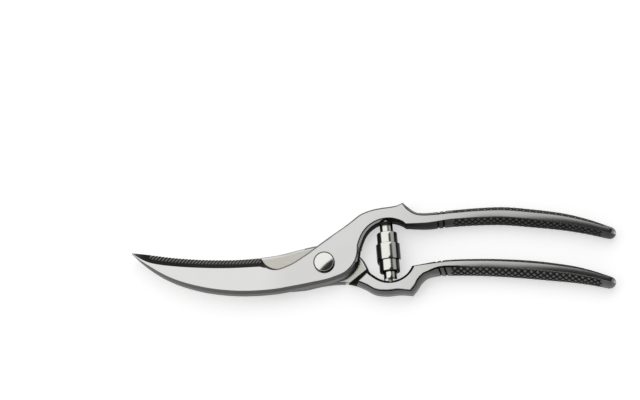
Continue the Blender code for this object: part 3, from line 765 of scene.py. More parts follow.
def shaded_bow(track, first, last, inner, lead):
    """Mask of painted shade on a bow's inner wall, and of a painted dark line on the rim opposite.

    Both begin some ribs before the bow. The painted shade thins out where the handle begins, and soon
    after that the rim's dark line fades out over one rib.
    """
    reached = track[:, 4]
    on_wall = np.where((RING_SIDE == inner) & ON_SIDE, 1.0, 0.0)
    on_rim = ON_SIDE & (RING_PLACE < FIRST_CORNER + RIM_LINE)
    line = np.where((RING_SIDE != inner) & on_rim, 1.0, 0.0)
    start = np.clip(reached - first + lead, 0, 1)
    stop = np.clip(last + 2 - reached, 0, 1)
    wall = start * np.interp(reached, (last - 1, last + 1), BOW_PAINTED_SHADE)
    return wall[:, None] * on_wall + (start * stop)[:, None] * line


def rounded_end(rings, hollow, forward):
    """Close a handle: its last ring shrinks with cos a while it moves on with sin a.

    The mask goes on as it is at the last ring.
    """
    ring = rings[-1]
    middle = ring.mean(axis=0)
    turn = np.radians(np.linspace(0, END_TURN, END_RINGS + 1)[1:])[:, None, None]
    dome = middle + (ring - middle) * np.cos(turn) + forward * HANDLE_END_ROUND * np.sin(turn)
    mask = np.repeat(hollow[-1:], END_RINGS, axis=0)
    return np.concatenate([rings, dome]), np.concatenate([hollow, mask])


def handle_ribs(table, neck_x, insets):
    """Ribs square to a handle's middle line, from its neck to where its end is rounded."""
    run = HANDLE_LENGTH - HANDLE_END_ROUND - neck_x
    middle = np.array([(neck_x + share * run, height) for share, height, _ in table])
    along = np.gradient(middle, axis=0)
    along /= np.linalg.norm(along, axis=1)[:, None]
    ribs = []
    for (x, y), (dx, dy), (_, _, part) in zip(middle, along, table):
        half = HANDLE_WIDTH * part / 2
        sides = tuple(grip_side(inset * part, HANDLE_FRONT, HANDLE_BACK) for inset in insets)
        upper, lower = (x - dy * half, y + dx * half), (x + dy * half, y - dx * half)
        ribs.append(rib(upper, lower, sides=sides))
    ribs[0]["sides"] = None
    return ribs, np.array([*along[-1], 0.0])


def polar(centre, radius, degrees):
    """The point at an angle and a distance from a centre, in plan."""
    turn = math.radians(degrees)
    return (centre[0] + radius * math.cos(turn), centre[1] + radius * math.sin(turn))


def arch_rib(mark, **options):
    """A rib along a ray of the arch, whose outer side is above."""
    degrees, radius = mark
    inner = polar(ARCH_CENTRE, ARCH_RADIUS, degrees)
    return rib(polar(ARCH_CENTRE, radius, degrees), inner, **options)


def cradle_rib(mark, **options):
    """A rib along a ray of the cradle, whose outer side is below."""
    degrees, radius = mark
    inner = polar(CRADLE_CENTRE, CRADLE_RADIUS, degrees)
    return rib(inner, polar(CRADLE_CENTRE, radius, degrees), **options)


def front_ribs():
    """Ribs of the lower blade, front half of the lap, shoulder, arch, horn and upper neck."""
    tip_top = FRONT_BOTTOM + FRONT_TIP_THICKNESS
    spine = spine_side(SPINE_ROUND, STOCK, FRONT_BOTTOM)
    wall = wall_side(BOW_CHAMFER, STOCK, FRONT_BOTTOM)
    full = wall_side(BOW_CHAMFER, STOCK, 0.0)
    inner = wall_side(ARCH_CHAMFER, STOCK, 0.0, ARCH_DROP)
    neck = wall_side(NECK_CHAMFER, STOCK, 0.0)
    tip_edge = edge_side(EDGE_BEVEL, tip_top, FRONT_BOTTOM)
    tip_spine = spine_side(SPINE_ROUND / 2, tip_top, FRONT_BOTTOM)
    cutting = edge_side(EDGE_BEVEL, STOCK, FRONT_BOTTOM)
    ribs = []
    for share, edge, back in FRONT_TIP + FRONT_TEETH:
        x = -NOTCH_START - (BLADE_LENGTH - NOTCH_START) * share
        ribs.append(rib((x, edge), (x, back), BLADE_STEPS))
    first_tooth = len(FRONT_TIP)
    last_tooth = len(ribs) - 1
    ribs[0]["sides"] = (tip_edge, tip_spine)
    ribs[last_tooth - FRONT_FULL_RIBS]["sides"] = (cutting, spine)
    ribs[last_tooth].update(sides=(cutting, spine), corners=(True, False))
    ribs += [rib(*ends, sides=(wall, spine)) for ends in NOTCH_RIBS + FRONT_LAP_RIBS]
    ribs[last_tooth + 1]["sides"] = (wall_side(NOTCH_CHAMFER, STOCK, FRONT_BOTTOM), spine)
    foot = wall_side(SHOULDER_CHAMFER, STOCK, FRONT_BOTTOM, SHOULDER_DROP)
    head = wall_side(SHOULDER_CHAMFER, STOCK, 0.0, SHOULDER_DROP)
    ribs[-1]["sides"] = (wall, foot)
    ribs.append(rib(*FRONT_SHOULDER_FOOT, SHOULDER_STEPS, (wall, foot)))
    ribs.append(rib(*FRONT_SHOULDER_TOP, BOW_STEPS, (full, head)))
    first_arch = len(ribs)
    ribs += [arch_rib(mark, steps=BOW_STEPS) for mark in ARCH_RIBS]
    ribs.append(arch_rib(ARCH_HORN, steps=BOW_STEPS, sides=(full, inner), upper_corner=True))
    ribs += [arch_rib(mark, steps=BOW_STEPS, sides=(neck, inner)) for mark in ARCH_NECK]
    ribs.append(arch_rib(ARCH_KINK, sides=(neck, full), lower_corner=True))
    return ribs, first_tooth, last_tooth, first_arch


def rear_ribs():
    """Ribs of the upper blade, rear half of the lap, shoulder, cradle, horn and lower neck."""
    tip_bottom = REAR_TOP - REAR_TIP_THICKNESS
    wall = wall_side(BOW_CHAMFER, REAR_TOP, 0.0)
    outer = wall_side(CRADLE_CHAMFER, STOCK, 0.0)
    seat = wall_side(SEAT_CHAMFER, STOCK, 0.0)
    spine = flipped(spine_side(SPINE_ROUND, REAR_TOP, 0.0), REAR_TOP, 0.0)
    cutting = flipped(edge_side(REAR_BEVEL, REAR_TOP, 0.0), REAR_TOP, 0.0)
    tip_spine = flipped(spine_side(SPINE_ROUND / 2, REAR_TOP, tip_bottom), REAR_TOP, tip_bottom)
    tip_edge = flipped(edge_side(REAR_BEVEL, REAR_TOP, tip_bottom), REAR_TOP, tip_bottom)
    ribs = []
    for share, back, edge in REAR_BLADE:
        x = -REAR_ROOT - (BLADE_LENGTH - REAR_ROOT) * share
        ribs.append(rib((x, back), (x, edge), BLADE_STEPS))
    ribs[0]["sides"] = (tip_spine, tip_edge)
    ribs[-1 - REAR_FULL_RIBS]["sides"] = (spine, cutting)
    ribs[-1].update(sides=(spine, cutting), steps=ROOT_STEPS * FINENESS)
    bevel_end = len(ribs)
    ribs += [rib(*ends, sides=(wall, wall)) for ends in REAR_LAP_RIBS]
    ribs.append(rib(*REAR_SHOULDER_FOOT, SHOULDER_STEPS, (wall, wall)))
    ribs.append(rib(*REAR_SHOULDER_TOP, BOW_STEPS, (seat, outer)))
    first_cradle = len(ribs)
    ribs += [cradle_rib(mark) for mark in CRADLE_RIBS]
    ribs.append(cradle_rib(CRADLE_HORN, lower_corner=True))
    ribs += [cradle_rib(mark, steps=BOW_STEPS) for mark in CRADLE_NECK]
    ribs[-len(CRADLE_NECK)]["sides"] = (seat, outer)
    slight, bulge = (grip_side(inset, STOCK, 0.0) for inset in NECK_BULGES)
    ribs[-1]["sides"] = (seat, slight)
    ribs.append(cradle_rib(CRADLE_KINK, sides=(seat, bulge), upper_corner=True))
    return ribs, bevel_end, first_cradle


def turned_in(points, quads):
    """Whether quads face inwards: the sum of (a x b) . c over their first corners is negative."""
    a, b, c = (points[quads[..., k]] for k in range(3))
    return np.einsum("...i,...i", np.cross(a, b), c).sum() < 0


def tube_mesh(name, rings, slots=None, hollow=None):
    """A closed skin over rings of points, with a fan at each end.

    UV gives the distance along the rings and round them in metres. Slots give the material of each
    quad, and the mask at the points marks painted shade and painted highlight.
    """
    count, around = rings.shape[:2]
    index = np.arange(count * around).reshape(count, around)
    after = np.roll(index, -1, axis=1)
    quads = np.stack([index[:-1], after[:-1], after[1:], index[1:]], axis=-1)
    poles = rings[[0, -1]].mean(axis=1)
    points = np.vstack([rings.reshape(-1, 3), poles])
    start = np.stack([after[0], index[0], np.full(around, count * around)], axis=-1)
    end = np.stack([index[-1], after[-1], np.full(around, count * around + 1)], axis=-1)
    along = travelled(rings.mean(axis=1))
    closed = np.concatenate([rings, rings[:, :1]], axis=1)
    across = travelled(np.swapaxes(closed, 0, 1)).T
    u = np.broadcast_to(along[:, None], across.shape)
    uv = np.stack([u, across], axis=-1)
    quad_uv = np.stack([uv[:-1, :-1], uv[:-1, 1:], uv[1:, 1:], uv[1:, :-1]], axis=2)
    end_uv = [np.stack([uv[k, :-1], uv[k, 1:], uv[k, :-1]], axis=1) for k in (0, -1)]
    faces = [quads.reshape(-1, 4), start, end]
    corners = [quad_uv.reshape(-1, 4, 2), *end_uv]
    if turned_in(points, quads):
        faces = [f[:, ::-1] for f in faces]
        corners = [c[:, ::-1] for c in corners]
    mesh = bpy.data.meshes.new(name)
    mesh.from_pydata(points.tolist(), [], [f for part in faces for f in part.tolist()])
    layer = mesh.uv_layers.new(name="surface")
    layer.data.foreach_set("uv", np.concatenate([c.reshape(-1) for c in corners]))
    if slots is not None:
        ends = [np.full(around, slots[0, 0]), np.full(around, slots[-1, 0])]
        mesh.polygons.foreach_set("material_index", np.concatenate([slots.ravel(), *ends]))
    if hollow is not None:
        attribute = mesh.attributes.new("hollow", "FLOAT", "POINT")
        values = np.concatenate([hollow.ravel(), hollow[[0, -1]].mean(axis=1)])
        attribute.data.foreach_set("value", values.astype(np.float32))
    smooth(mesh)
    return mesh


def smooth(mesh):
    """Smooth shading that keeps creases."""
    mesh.validate()
    mesh.shade_smooth()
    mesh.set_sharp_from_angle(angle=SHARP_ANGLE)


def add_piece(mesh, finishes, body, node):
    """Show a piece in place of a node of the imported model, on that node's body if it has one."""
    piece = bpy.data.objects.new(mesh.name, mesh)
    bpy.context.scene.collection.objects.link(piece)
    for material in finishes:
        mesh.materials.append(material)
    if body:
        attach(piece, body)
    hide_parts(node)
    return piece


def turned_mesh(name, profile, place=None, mask=None):
    """A turned body: the profile's radius r and height z at angle a give (r cos a, r sin a, z).

    The profile runs from the axis round to the axis, or closes on itself. The mask is of its points.
    """
    profile = np.array(profile)
    ring_shaped = profile[0, 0] > 0
    body = profile[:-1] if ring_shaped else profile[1:-1]
    angle = np.linspace(0, 2 * math.pi, TURN_STEPS, endpoint=False)
    radius, height = body[:, :1], np.repeat(body[:, 1:], TURN_STEPS, axis=1)
    rings = np.stack([radius * np.cos(angle), radius * np.sin(angle), height], axis=-1)
    if ring_shaped:
        mesh = wheel_mesh(name, rings)
    else:
        hollow = None if mask is None else np.repeat(mask[1:-1, None], TURN_STEPS, axis=1)
        mesh = tube_mesh(name, rings, hollow=hollow)
    if place is not None:
        mesh.transform(place)
    return mesh


def wheel_mesh(name, rings):
    """A skin over rings that closes on itself both ways; the last ring joins the first."""
    count, around = rings.shape[:2]
    index = np.arange(count * around).reshape(count, around)
    after = np.roll(index, -1, axis=1)
    quads = np.stack([index, after, np.roll(after, -1, axis=0), np.roll(index, -1, axis=0)], axis=-1)
    points = rings.reshape(-1, 3)
    faces = quads.reshape(-1, 4)
    if turned_in(points, quads):
        faces = faces[:, ::-1]
    mesh = bpy.data.meshes.new(name)
    mesh.from_pydata(points.tolist(), [], faces.tolist())
    mesh.uv_layers.new(name="surface")
    smooth(mesh)
    return mesh


def rod_mesh(name, radius, low, high, place=None):
    """A plain round cutter along Z between two heights."""
    return turned_mesh(name, [(0.0, high), (radius, high), (radius, low), (0.0, low)], place)


def bored(piece, cutters):
    """Cut other meshes out of a piece, and leave the cut surface in its own mesh."""
    tools = []
    for mesh in cutters:
        tool = bpy.data.objects.new(mesh.name, mesh)
        bpy.context.scene.collection.objects.link(tool)
        modifier = piece.modifiers.new(mesh.name, "BOOLEAN")
        modifier.operation = "DIFFERENCE"
        modifier.solver = "EXACT"
        modifier.object = tool
        tools.append(tool)
    graph = bpy.context.evaluated_depsgraph_get()
    graph.update()
    mesh = bpy.data.meshes.new_from_object(piece.evaluated_get(graph), depsgraph=graph)
    piece.modifiers.clear()
    mesh.name = piece.data.name
    piece.data = mesh
    for tool in tools:
        bpy.data.objects.remove(tool, do_unlink=True)
    smooth(mesh)


def spring_seats():
    """The points of the two bow walls between which the spring stands."""
    upper = polar(ARCH_CENTRE, ARCH_RADIUS, UPPER_SEAT_ANGLE)
    lower = polar(CRADLE_CENTRE, CRADLE_RADIUS, LOWER_SEAT_ANGLE)
    return Vector((*upper, SPRING_AXIS_Z)), Vector((*lower, SPRING_AXIS_Z))


def upright(base, towards):
    """A placement with Z along the way from one point to another."""
    turn = (towards - base).to_track_quat("Z", "Y").to_matrix().to_4x4()
    return Matrix.Translation(base) @ turn


def ease(value):
    """A smooth climb from 0 to 1."""
    t = np.clip(value, 0, 1)
    return t * t * (3 - 2 * t)


def stage_steps():
    """How much narrower each stage of the spring is than the one before it."""
    return [STRIP_THICKNESS + TURN_GAP] + [INNER_STEP] * (math.ceil(SPRING_TURNS - 0.5) - 1)


def strip_path(length):
    """Radius, height and angle of the strip's middle line, widest at mid length.

    It runs level round the front and climbs at the back. The two halves of the middle turn part
    there by more than the strip's width, and the end turn climbs once more to reach the seat.
    """
    count = round(SPRING_TURNS * STRIP_POINTS)
    turns = np.arange(-count, count + 1) / STRIP_POINTS
    away = np.abs(turns)
    radius = np.full(len(turns), SPRING_RADIUS - STRIP_THICKNESS / 2)
    for stage, step in enumerate(stage_steps()):
        radius -= step * ease((away - stage - 0.5) / JOG_TURNS + 0.5)
    travel = (length - STRIP_WIDTH) / 2
    reach = travel + np.sign(turns) * SPRING_DROP
    last_back = math.floor(SPRING_TURNS) - 0.5
    climb = STAGE_RISE * ease((away - LEVEL_TURNS) / CLIMB_TURNS)
    climb += (reach - STAGE_RISE) * ease((away - last_back) / END_CLIMB_TURNS + 0.5)
    height = STRIP_WIDTH / 2 + travel - SPRING_DROP + np.sign(turns) * climb
    return radius, height, math.pi * (2 * turns + 0.5)


def strip_profile():
    """Outline of the strip: (outward, along) points round a flat bar with half-round edges."""
    half = STRIP_THICKNESS / 2
    reach = STRIP_WIDTH / 2 - half
    flat = np.linspace(-reach, reach, STRIP_EDGE_POINTS)
    nose = np.radians(np.linspace(90, -90, STRIP_EDGE_POINTS))[1:-1]
    outer = np.column_stack([np.full_like(flat, half), flat])
    top = np.column_stack([half * np.sin(nose), reach + half * np.cos(nose)])
    return np.vstack([outer, top, -outer, -top])


# Materials


def node(tree, kind, inputs=None, **settings):
    """Add a shader node; an input is a value or the socket that feeds it."""
    made = tree.nodes.new(kind)
    for key, value in settings.items():
        setattr(made, key, value)
    for key, value in (inputs or {}).items():
        if isinstance(value, bpy.types.NodeSocket):
            tree.links.new(value, made.inputs[key])
        else:
            made.inputs[key].default_value = value
    return made


def math_node(tree, operation, first, second=0.0):
    """A Math node's result."""
    return node(tree, "ShaderNodeMath", {0: first, 1: second}, operation=operation).outputs[0]


def ramp(tree, value, low, high, start=0.0, end=1.0):
    """A value brought smoothly from one range to another."""
    inputs = {"Value": value, "From Min": low, "From Max": high, "To Min": start, "To Max": end}
    return node(tree, "ShaderNodeMapRange", inputs, interpolation_type="SMOOTHSTEP").outputs["Result"]


def blend_colour(tree, factor, first, second):
    """A mix of two colours."""
    made = node(tree, "ShaderNodeMix", {"Factor": factor}, data_type="RGBA")
    for key, value in (("A", first), ("B", second)):
        socket = [s for s in made.inputs if s.name == key and s.type == "RGBA"][0]
        if isinstance(value, bpy.types.NodeSocket):
            tree.links.new(value, socket)
        else:
            socket.default_value = (*value, 1.0)
    return [s for s in made.outputs if s.type == "RGBA"][0]


def new_group(name, inputs, outputs):
    """A shader group with float inputs and outputs; returns the tree and its two end nodes."""
    tree = bpy.data.node_groups.new(name, "ShaderNodeTree")
    for label, default in inputs:
        socket = tree.interface.new_socket(label, in_out="INPUT", socket_type="NodeSocketFloat")
        socket.default_value = default
    for label in outputs:
        tree.interface.new_socket(label, in_out="OUTPUT", socket_type="NodeSocketFloat")
    return tree, tree.nodes.new("NodeGroupInput"), tree.nodes.new("NodeGroupOutput")


def polish_group():
    """Polishing lines along the surface, soft clouds and a few fine scratches.

    Lines are noise drawn out along U, clouds are broad noise, and scratches are the thin seams of
    a stretched cell pattern.
    """
    if "polish" in bpy.data.node_groups:
        return bpy.data.node_groups["polish"]
    inputs = (("Lines per metre", 9000.0), ("Draw", 0.02), ("Cloud scale", 60.0))
    tree, given, result = new_group("polish", inputs, ("Lines", "Clouds", "Scratches"))
    place = node(tree, "ShaderNodeTexCoord")
    split = node(tree, "ShaderNodeSeparateXYZ", {0: place.outputs["UV"]})
    drawn = math_node(tree, "MULTIPLY", split.outputs["X"], given.outputs["Draw"])
    flow = node(tree, "ShaderNodeCombineXYZ", {"X": drawn, "Y": split.outputs["Y"]})
    lines = node(
        tree, "ShaderNodeTexNoise",
        {"Vector": flow.outputs[0], "Scale": given.outputs["Lines per metre"], "Detail": NOISE_DETAIL},
    )
    clouds = node(
        tree, "ShaderNodeTexNoise",
        {
            "Vector": place.outputs["Object"],
            "Scale": given.outputs["Cloud scale"],
            "Detail": NOISE_DETAIL,
        },
    )
    turned = node(
        tree, "ShaderNodeMapping",
        {"Vector": place.outputs["Object"], "Rotation": SCRATCH_TURN, "Scale": SCRATCH_STRETCH},
    )
    cells = {"Vector": turned.outputs[0]}
    seams = node(tree, "ShaderNodeTexVoronoi", cells, feature="DISTANCE_TO_EDGE")
    scratch = ramp(tree, seams.outputs["Distance"], 0.0, SCRATCH_WIDTH, 1.0, 0.0)
    patchy = ramp(tree, clouds.outputs["Fac"], *SCRATCH_PATCHES)
    tree.links.new(lines.outputs["Fac"], result.inputs["Lines"])
    tree.links.new(clouds.outputs["Fac"], result.inputs["Clouds"])
    tree.links.new(math_node(tree, "MULTIPLY", scratch, patchy), result.inputs["Scratches"])
    return tree


def steel(name, colour, dark=None, painted_falloff=()):
    """A steel finish: colour goes with the clouds, roughness with the lines and scratches.

    Along X the colour drifts to a share of itself, as a painted falloff of the light. Where a piece
    has a mask of painted light, the finish goes over to the second colour: painted shade, or on the
    bevel the painted highlight of its teeth.
    """
    if name in bpy.data.materials:
        return bpy.data.materials[name]
    low_rough, high_rough, lines, relief = STEELS[name]
    material = bpy.data.materials.new(name)
    material.use_nodes = True
    tree = material.node_tree
    shader = tree.nodes["Principled BSDF"]
    shader.inputs["Metallic"].default_value = 1.0
    polish = node(tree, "ShaderNodeGroup", node_tree=polish_group())
    polish.inputs["Lines per metre"].default_value = lines
    streaks, clouds, scratches = (polish.outputs[key] for key in ("Lines", "Clouds", "Scratches"))
    warm, cool = (
        tuple(min(1.0, c * share) for c, share in zip(colour, shares))
        for shares in (WARM_SHARES, COOL_SHARES)
    )
    tint = blend_colour(tree, ramp(tree, clouds, *CLOUD_RANGE), warm, cool)
    if painted_falloff:
        place = node(tree, "ShaderNodeTexCoord").outputs["Object"]
        x = node(tree, "ShaderNodeSeparateXYZ", {0: place}).outputs["X"]
        for begin, end, share in painted_falloff:
            reached = tuple(c * share for c in colour)
            tint = blend_colour(tree, ramp(tree, x, begin, end), tint, reached)
    streak = ramp(tree, streaks, *STREAK_RANGE)
    rough = ramp(tree, streaks, *ROUGH_RANGE, low_rough, high_rough)
    scratched = math_node(tree, "MULTIPLY", scratches, SCRATCH_ROUGHNESS)
    rough = math_node(tree, "ADD", rough, scratched)
    if dark is not None:
        hollow = node(tree, "ShaderNodeAttribute", attribute_name="hollow").outputs["Fac"]
        painted_and_worn = math_node(tree, "ADD", hollow, math_node(tree, "MULTIPLY", clouds, PAINTED_LIGHT_WEAR))
        mask = ramp(tree, painted_and_worn, *PAINTED_LIGHT_RANGE)
        tint = blend_colour(tree, mask, tint, dark)
        dull = math_node(tree, "MULTIPLY", mask, PAINTED_LIGHT_ROUGHNESS)
        rough = math_node(tree, "ADD", rough, dull)
    tree.links.new(tint, shader.inputs["Base Color"])
    tree.links.new(rough, shader.inputs["Roughness"])
    height = math_node(tree, "SUBTRACT", streak, scratches)
    raised = {"Height": height, "Distance": relief, "Strength": RELIEF_STRENGTH}
    bump = node(tree, "ShaderNodeBump", raised)
    tree.links.new(bump.outputs["Normal"], shader.inputs["Normal"])
    return material


def lever_finishes(finish):
    """Polished face, satin side, ground bevel and ground lap, in the order of the slots."""
    return [
        steel("polished_face", finish.face, painted_falloff=PAINTED_LIGHT_FALLOFF),
        steel("satin_side", finish.side, finish.painted_shade),
        steel("ground_bevel", finish.bevel, finish.tooth),
        steel("ground_lap", finish.lap),
    ]


def side_columns(wanted, first=FIRST_CORNER, last=LAST_CORNER):
    """Numbers of the face columns on one side of a lever between two places."""
    middle = (RING_PLACE + np.roll(RING_PLACE, -1)) / 2
    same = (RING_SIDE == wanted) & (np.roll(RING_SIDE, -1) == wanted)
    return np.flatnonzero(same & (middle > first) & (middle < last))


def flat_columns(at_back):
    """Numbers of the face columns on the back or the front of a lever."""
    flat = np.isnan(RING_PLACE + np.roll(RING_PLACE, -1))
    behind = np.arange(len(flat)) < len(flat) // 2
    return np.flatnonzero(flat & (behind == at_back))


def lever_slots(rings, blade, lap, edge, bevel):
    """Material slot of every quad: flats are polished, sides are satin and the bevel is ground.

    Blade and lap are numbers of stations, edge is the cutting side and bevel gives two places on it.
    The lever with its edge above laps at its back, and the other one at its front.
    """
    slots = np.full((len(rings) - 1, len(RING_PLACE)), FACE)
    for side in (UPPER, LOWER):
        slots[:, side_columns(side)] = SIDE
    slots[:blade, side_columns(edge, PLACES[0], PLACES[-1])] = FACE
    slots[:blade, side_columns(edge, *bevel)] = BEVEL
    slots[:lap, flat_columns(edge == UPPER)] = LAP
    return slots


def paint(slots, stretch, columns, finish):
    """Give some columns of faces another finish along a stretch of the stations."""
    slots[: len(stretch)][np.ix_(stretch, columns)] = finish


def dish_profile():
    """Cutter of the shallow dish under the bolt head, with an eased slope up to the face."""
    floor = HEAD_RADIUS + CLEARANCE
    over = STOCK + CUT_OVERRUN
    slope = np.linspace(1, 0, DISH_POINTS)
    rim = np.column_stack([floor + DISH_SLOPE * slope, STOCK - DISH_DEPTH * (1 - ease(slope))])
    return [(0.0, over), (floor + DISH_SLOPE, over), *rim, (0.0, STOCK - DISH_DEPTH)]


class SHEARS_OT_front_lever(bpy.types.Operator):
    """Forge the front lever: toothed blade, bone notch, front lap, arch and upper handle"""

    bl_idname = "shears.front_lever"
    bl_label = "Front lever"

    def execute(self, context):
        form = context.scene.shears_form
        ribs, first_tooth, last_tooth, first_arch = front_ribs()
        grip, forward = handle_ribs(UPPER_HANDLE, UPPER_NECK_X, UPPER_INSETS)
        first_grip = len(ribs)
        ribs += grip
        track = stations(ribs)
        track = evenly(track, first_tooth, last_tooth, TOOTH_PITCH, TOOTH_STEPS)
        track = evenly(track, first_grip, len(ribs) - 1, GRIP_STEP, 1)
        rings, across = sections(track, ribs)
        hollow = cut_teeth(rings, across, track, first_tooth, last_tooth, form)
        roll_grip(rings)
        hollow = np.maximum(hollow, cut_grip(rings, form, 0.0))
        hollow = np.maximum(hollow, shaded_bow(track, first_arch, first_grip, LOWER, ARCH_LEAD))
        rings, hollow = rounded_end(rings, hollow, forward)
        # The bevel's painted dark reflection runs on into the notch, and covers the tip's first ring
        # of faces
        blade = stations_to(track, last_tooth + NOTCH_SHADE)
        lap = stations_to(track, first_arch - 1)
        slots = lever_slots(rings, blade, lap, UPPER, FRONT_BEVEL_PLACES)
        slots[0] = BEVEL
        past = track[:-1, 4] - first_arch
        for (begin, end), strip in BRIGHT_STRIPS:
            paint(slots, (past > begin) & (past <= end), side_columns(LOWER, *strip), FACE)
        mesh = tube_mesh("forged_front_lever", rings, slots, hollow)
        finishes = lever_finishes(context.scene.shears_finish)
        piece = add_piece(mesh, finishes, "front_half", "front_lever")
        upper, lower = spring_seats()
        bored(
            piece,
            [
                turned_mesh("head_dish", dish_profile()),
                rod_mesh("pivot_bore", BORE_RADIUS, -CUT_OVERRUN, STOCK + CUT_OVERRUN),
                rod_mesh("peg_hole", PEG_RADIUS, -PEG_SUNK, CUT_OVERRUN, upright(upper, lower)),
            ],
        )
        return {"FINISHED"}


class SHEARS_OT_rear_lever(bpy.types.Operator):
    """Forge the rear lever: plain blade, rear lap with its shoulder, cradle and lower handle"""

    bl_idname = "shears.rear_lever"
    bl_label = "Rear lever"

    def execute(self, context):
        form = context.scene.shears_form
        ribs, bevel_end, first_cradle = rear_ribs()
        grip, forward = handle_ribs(LOWER_HANDLE, LOWER_NECK_X, LOWER_INSETS)
        first_grip = len(ribs) - 1
        ribs += grip
        track = evenly(stations(ribs), first_grip, len(ribs) - 1, GRIP_STEP, 1)
        rings, _ = sections(track, ribs)
        roll_grip(rings)
        hollow = cut_grip(rings, form, RING_LEAN)
        shade = shaded_bow(track, first_cradle, first_grip, UPPER, CRADLE_LEAD)
        hollow = np.maximum(hollow, shade)
        rings, hollow = rounded_end(rings, hollow, forward)
        foot, top = first_cradle - 2, first_cradle - 1
        blade = stations_to(track, bevel_end - REAR_BEVEL_SHORT)
        slots = lever_slots(rings, blade, stations_to(track, top), LOWER, REAR_BEVEL_PLACES)
        reached = track[:-1, 4]
        paint(slots, reached < bevel_end, side_columns(UPPER), LAP)
        # The lap's lower wall before the shoulder's foot gets the lighter lap finish: painted
        # reflection
        paint(slots, (reached > foot - LAP_SHINE) & (reached < foot), side_columns(LOWER), LAP)
        # The shoulder's ramp is satin and fully dark: painted dark reflection
        paint(slots, (reached >= foot) & (reached < top), np.arange(len(RING_PLACE)), SIDE)
        hollow[: len(track)][(track[:, 4] >= foot) & (track[:, 4] <= top)] = 1.0
        mesh = tube_mesh("forged_rear_lever", rings, slots, hollow)
        finishes = lever_finishes(context.scene.shears_finish)
        piece = add_piece(mesh, finishes, "rear_half", "rear_lever")
        upper, lower = spring_seats()
        bored(
            piece,
            [
                rod_mesh("pivot_bore", BORE_RADIUS, -CUT_OVERRUN, STOCK + CUT_OVERRUN),
                rod_mesh("nut_recess", FLANGE_RADIUS + CLEARANCE, -CUT_OVERRUN, RECESS_FLOOR),
                rod_mesh("peg_hole", PEG_RADIUS, -PEG_SUNK, CUT_OVERRUN, upright(lower, upper)),
            ],
        )
        return {"FINISHED"}


def bolt_profile():
    """Profile of the bolt, and a mask of painted shade from the edge of its head on, for its dark
    outline.

    The dome is an arc of a ball, and a small round edge leads down to the rim.
    """
    rim = HEAD_SEAT + HEAD_RIM
    ball = (HEAD_RADIUS**2 + HEAD_DOME**2) / (2 * HEAD_DOME)
    turn = math.asin(HEAD_RADIUS / ball) * np.linspace(0, 1, DOME_POINTS)
    dome = np.column_stack([ball * np.sin(turn), rim + HEAD_DOME - ball * (1 - np.cos(turn))])
    dome = dome[dome[:, 0] < HEAD_RADIUS - HEAD_EDGE]
    bend = np.radians(np.linspace(*HEAD_EDGE_BEND, HEAD_EDGE_POINTS))
    edge = [HEAD_RADIUS, rim] + HEAD_EDGE * np.column_stack([np.sin(bend) - 1, np.cos(bend)])
    shank_end = NUT_FLOOR + CLEARANCE
    under = [
        (HEAD_RADIUS, HEAD_SEAT),
        (BOLT_SHANK_RADIUS, HEAD_SEAT),
        (BOLT_SHANK_RADIUS, shank_end),
        (0.0, shank_end),
    ]
    dark = np.concatenate([np.zeros(len(dome)), np.ones(len(edge) + len(under))])
    return np.vstack([dome, edge, under]), dark


def nut_profile():
    """Profile of the sleeve nut: a barrel with a blind bore, on a flange."""
    bore = BOLT_SHANK_RADIUS + CLEARANCE
    barrel_top = HEAD_SEAT - CLEARANCE
    return [
        (0.0, NUT_FLOOR),
        (bore, NUT_FLOOR),
        (bore, barrel_top),
        (BARREL_RADIUS, barrel_top),
        (BARREL_RADIUS, FLANGE_THICKNESS),
        (FLANGE_RADIUS, FLANGE_THICKNESS),
        (FLANGE_RADIUS, 0.0),
        (0.0, 0.0),
    ]


def washer_profile():
    """Profile of the friction washer: a thin ring round the barrel, closed on itself."""
    top = WASHER_BACK + WASHER_THICKNESS
    return [
        (BORE_RADIUS, top),
        (FLANGE_RADIUS, top),
        (FLANGE_RADIUS, WASHER_BACK),
        (BORE_RADIUS, WASHER_BACK),
        (BORE_RADIUS, top),
    ]


class SHEARS_OT_pivot(bpy.types.Operator):
    """Turn the pivot: domed bolt, sleeve nut with two spanner holes, and friction washer"""

    bl_idname = "shears.pivot"
    bl_label = "Pivot"

    def execute(self, context):
        finish = context.scene.shears_finish
        bright = steel("bright_bolt", finish.bolt, finish.painted_shade)
        plain = steel("turned_steel", finish.plain)
        profile, dark = bolt_profile()
        mesh = turned_mesh("domed_bolt", profile, mask=dark)
        add_piece(mesh, [bright], "front_half", "pivot_bolt")
        mesh = turned_mesh("sleeve_nut", nut_profile())
        nut = add_piece(mesh, [plain], "front_half", "pivot_nut")
        holes = []
        for offset in (-SPANNER_HOLE_OFFSET, SPANNER_HOLE_OFFSET):
            place = Matrix.Translation((offset, 0.0, 0.0))
            size = (SPANNER_HOLE_RADIUS, -CUT_OVERRUN, SPANNER_HOLE_DEPTH)
            holes.append(rod_mesh("spanner_hole", *size, place))
        bored(nut, holes)
        mesh = turned_mesh("friction_washer", washer_profile())
        add_piece(mesh, [plain], "front_half", "pivot_washer")
        return {"FINISHED"}


def spring_mask(outline, height, angle, length, front):
    """Mask of painted shade on the strip's edges, on its upper end, and on its sides and back.

    The painted side shade sets in with the sine of the angle from the front, and earlier on the left.
    """
    turn = angle - front
    right = np.sin(turn)
    aside = np.where(np.cos(turn) > 0, np.maximum(right, SIDE_SHADE_LEFT - right), 1.0)
    side_shade = ease((aside - SIDE_SHADE_FROM) / SIDE_SHADE_SPREAD)[:, None]
    nose = np.abs(outline[:, 1]) > (STRIP_WIDTH - STRIP_THICKNESS) / 2
    along = height[:, None] + outline[:, 1]
    end = ease((along - length + SPRING_DARK_END) / SPRING_SHADE)
    return np.maximum(np.maximum(side_shade, nose), end)


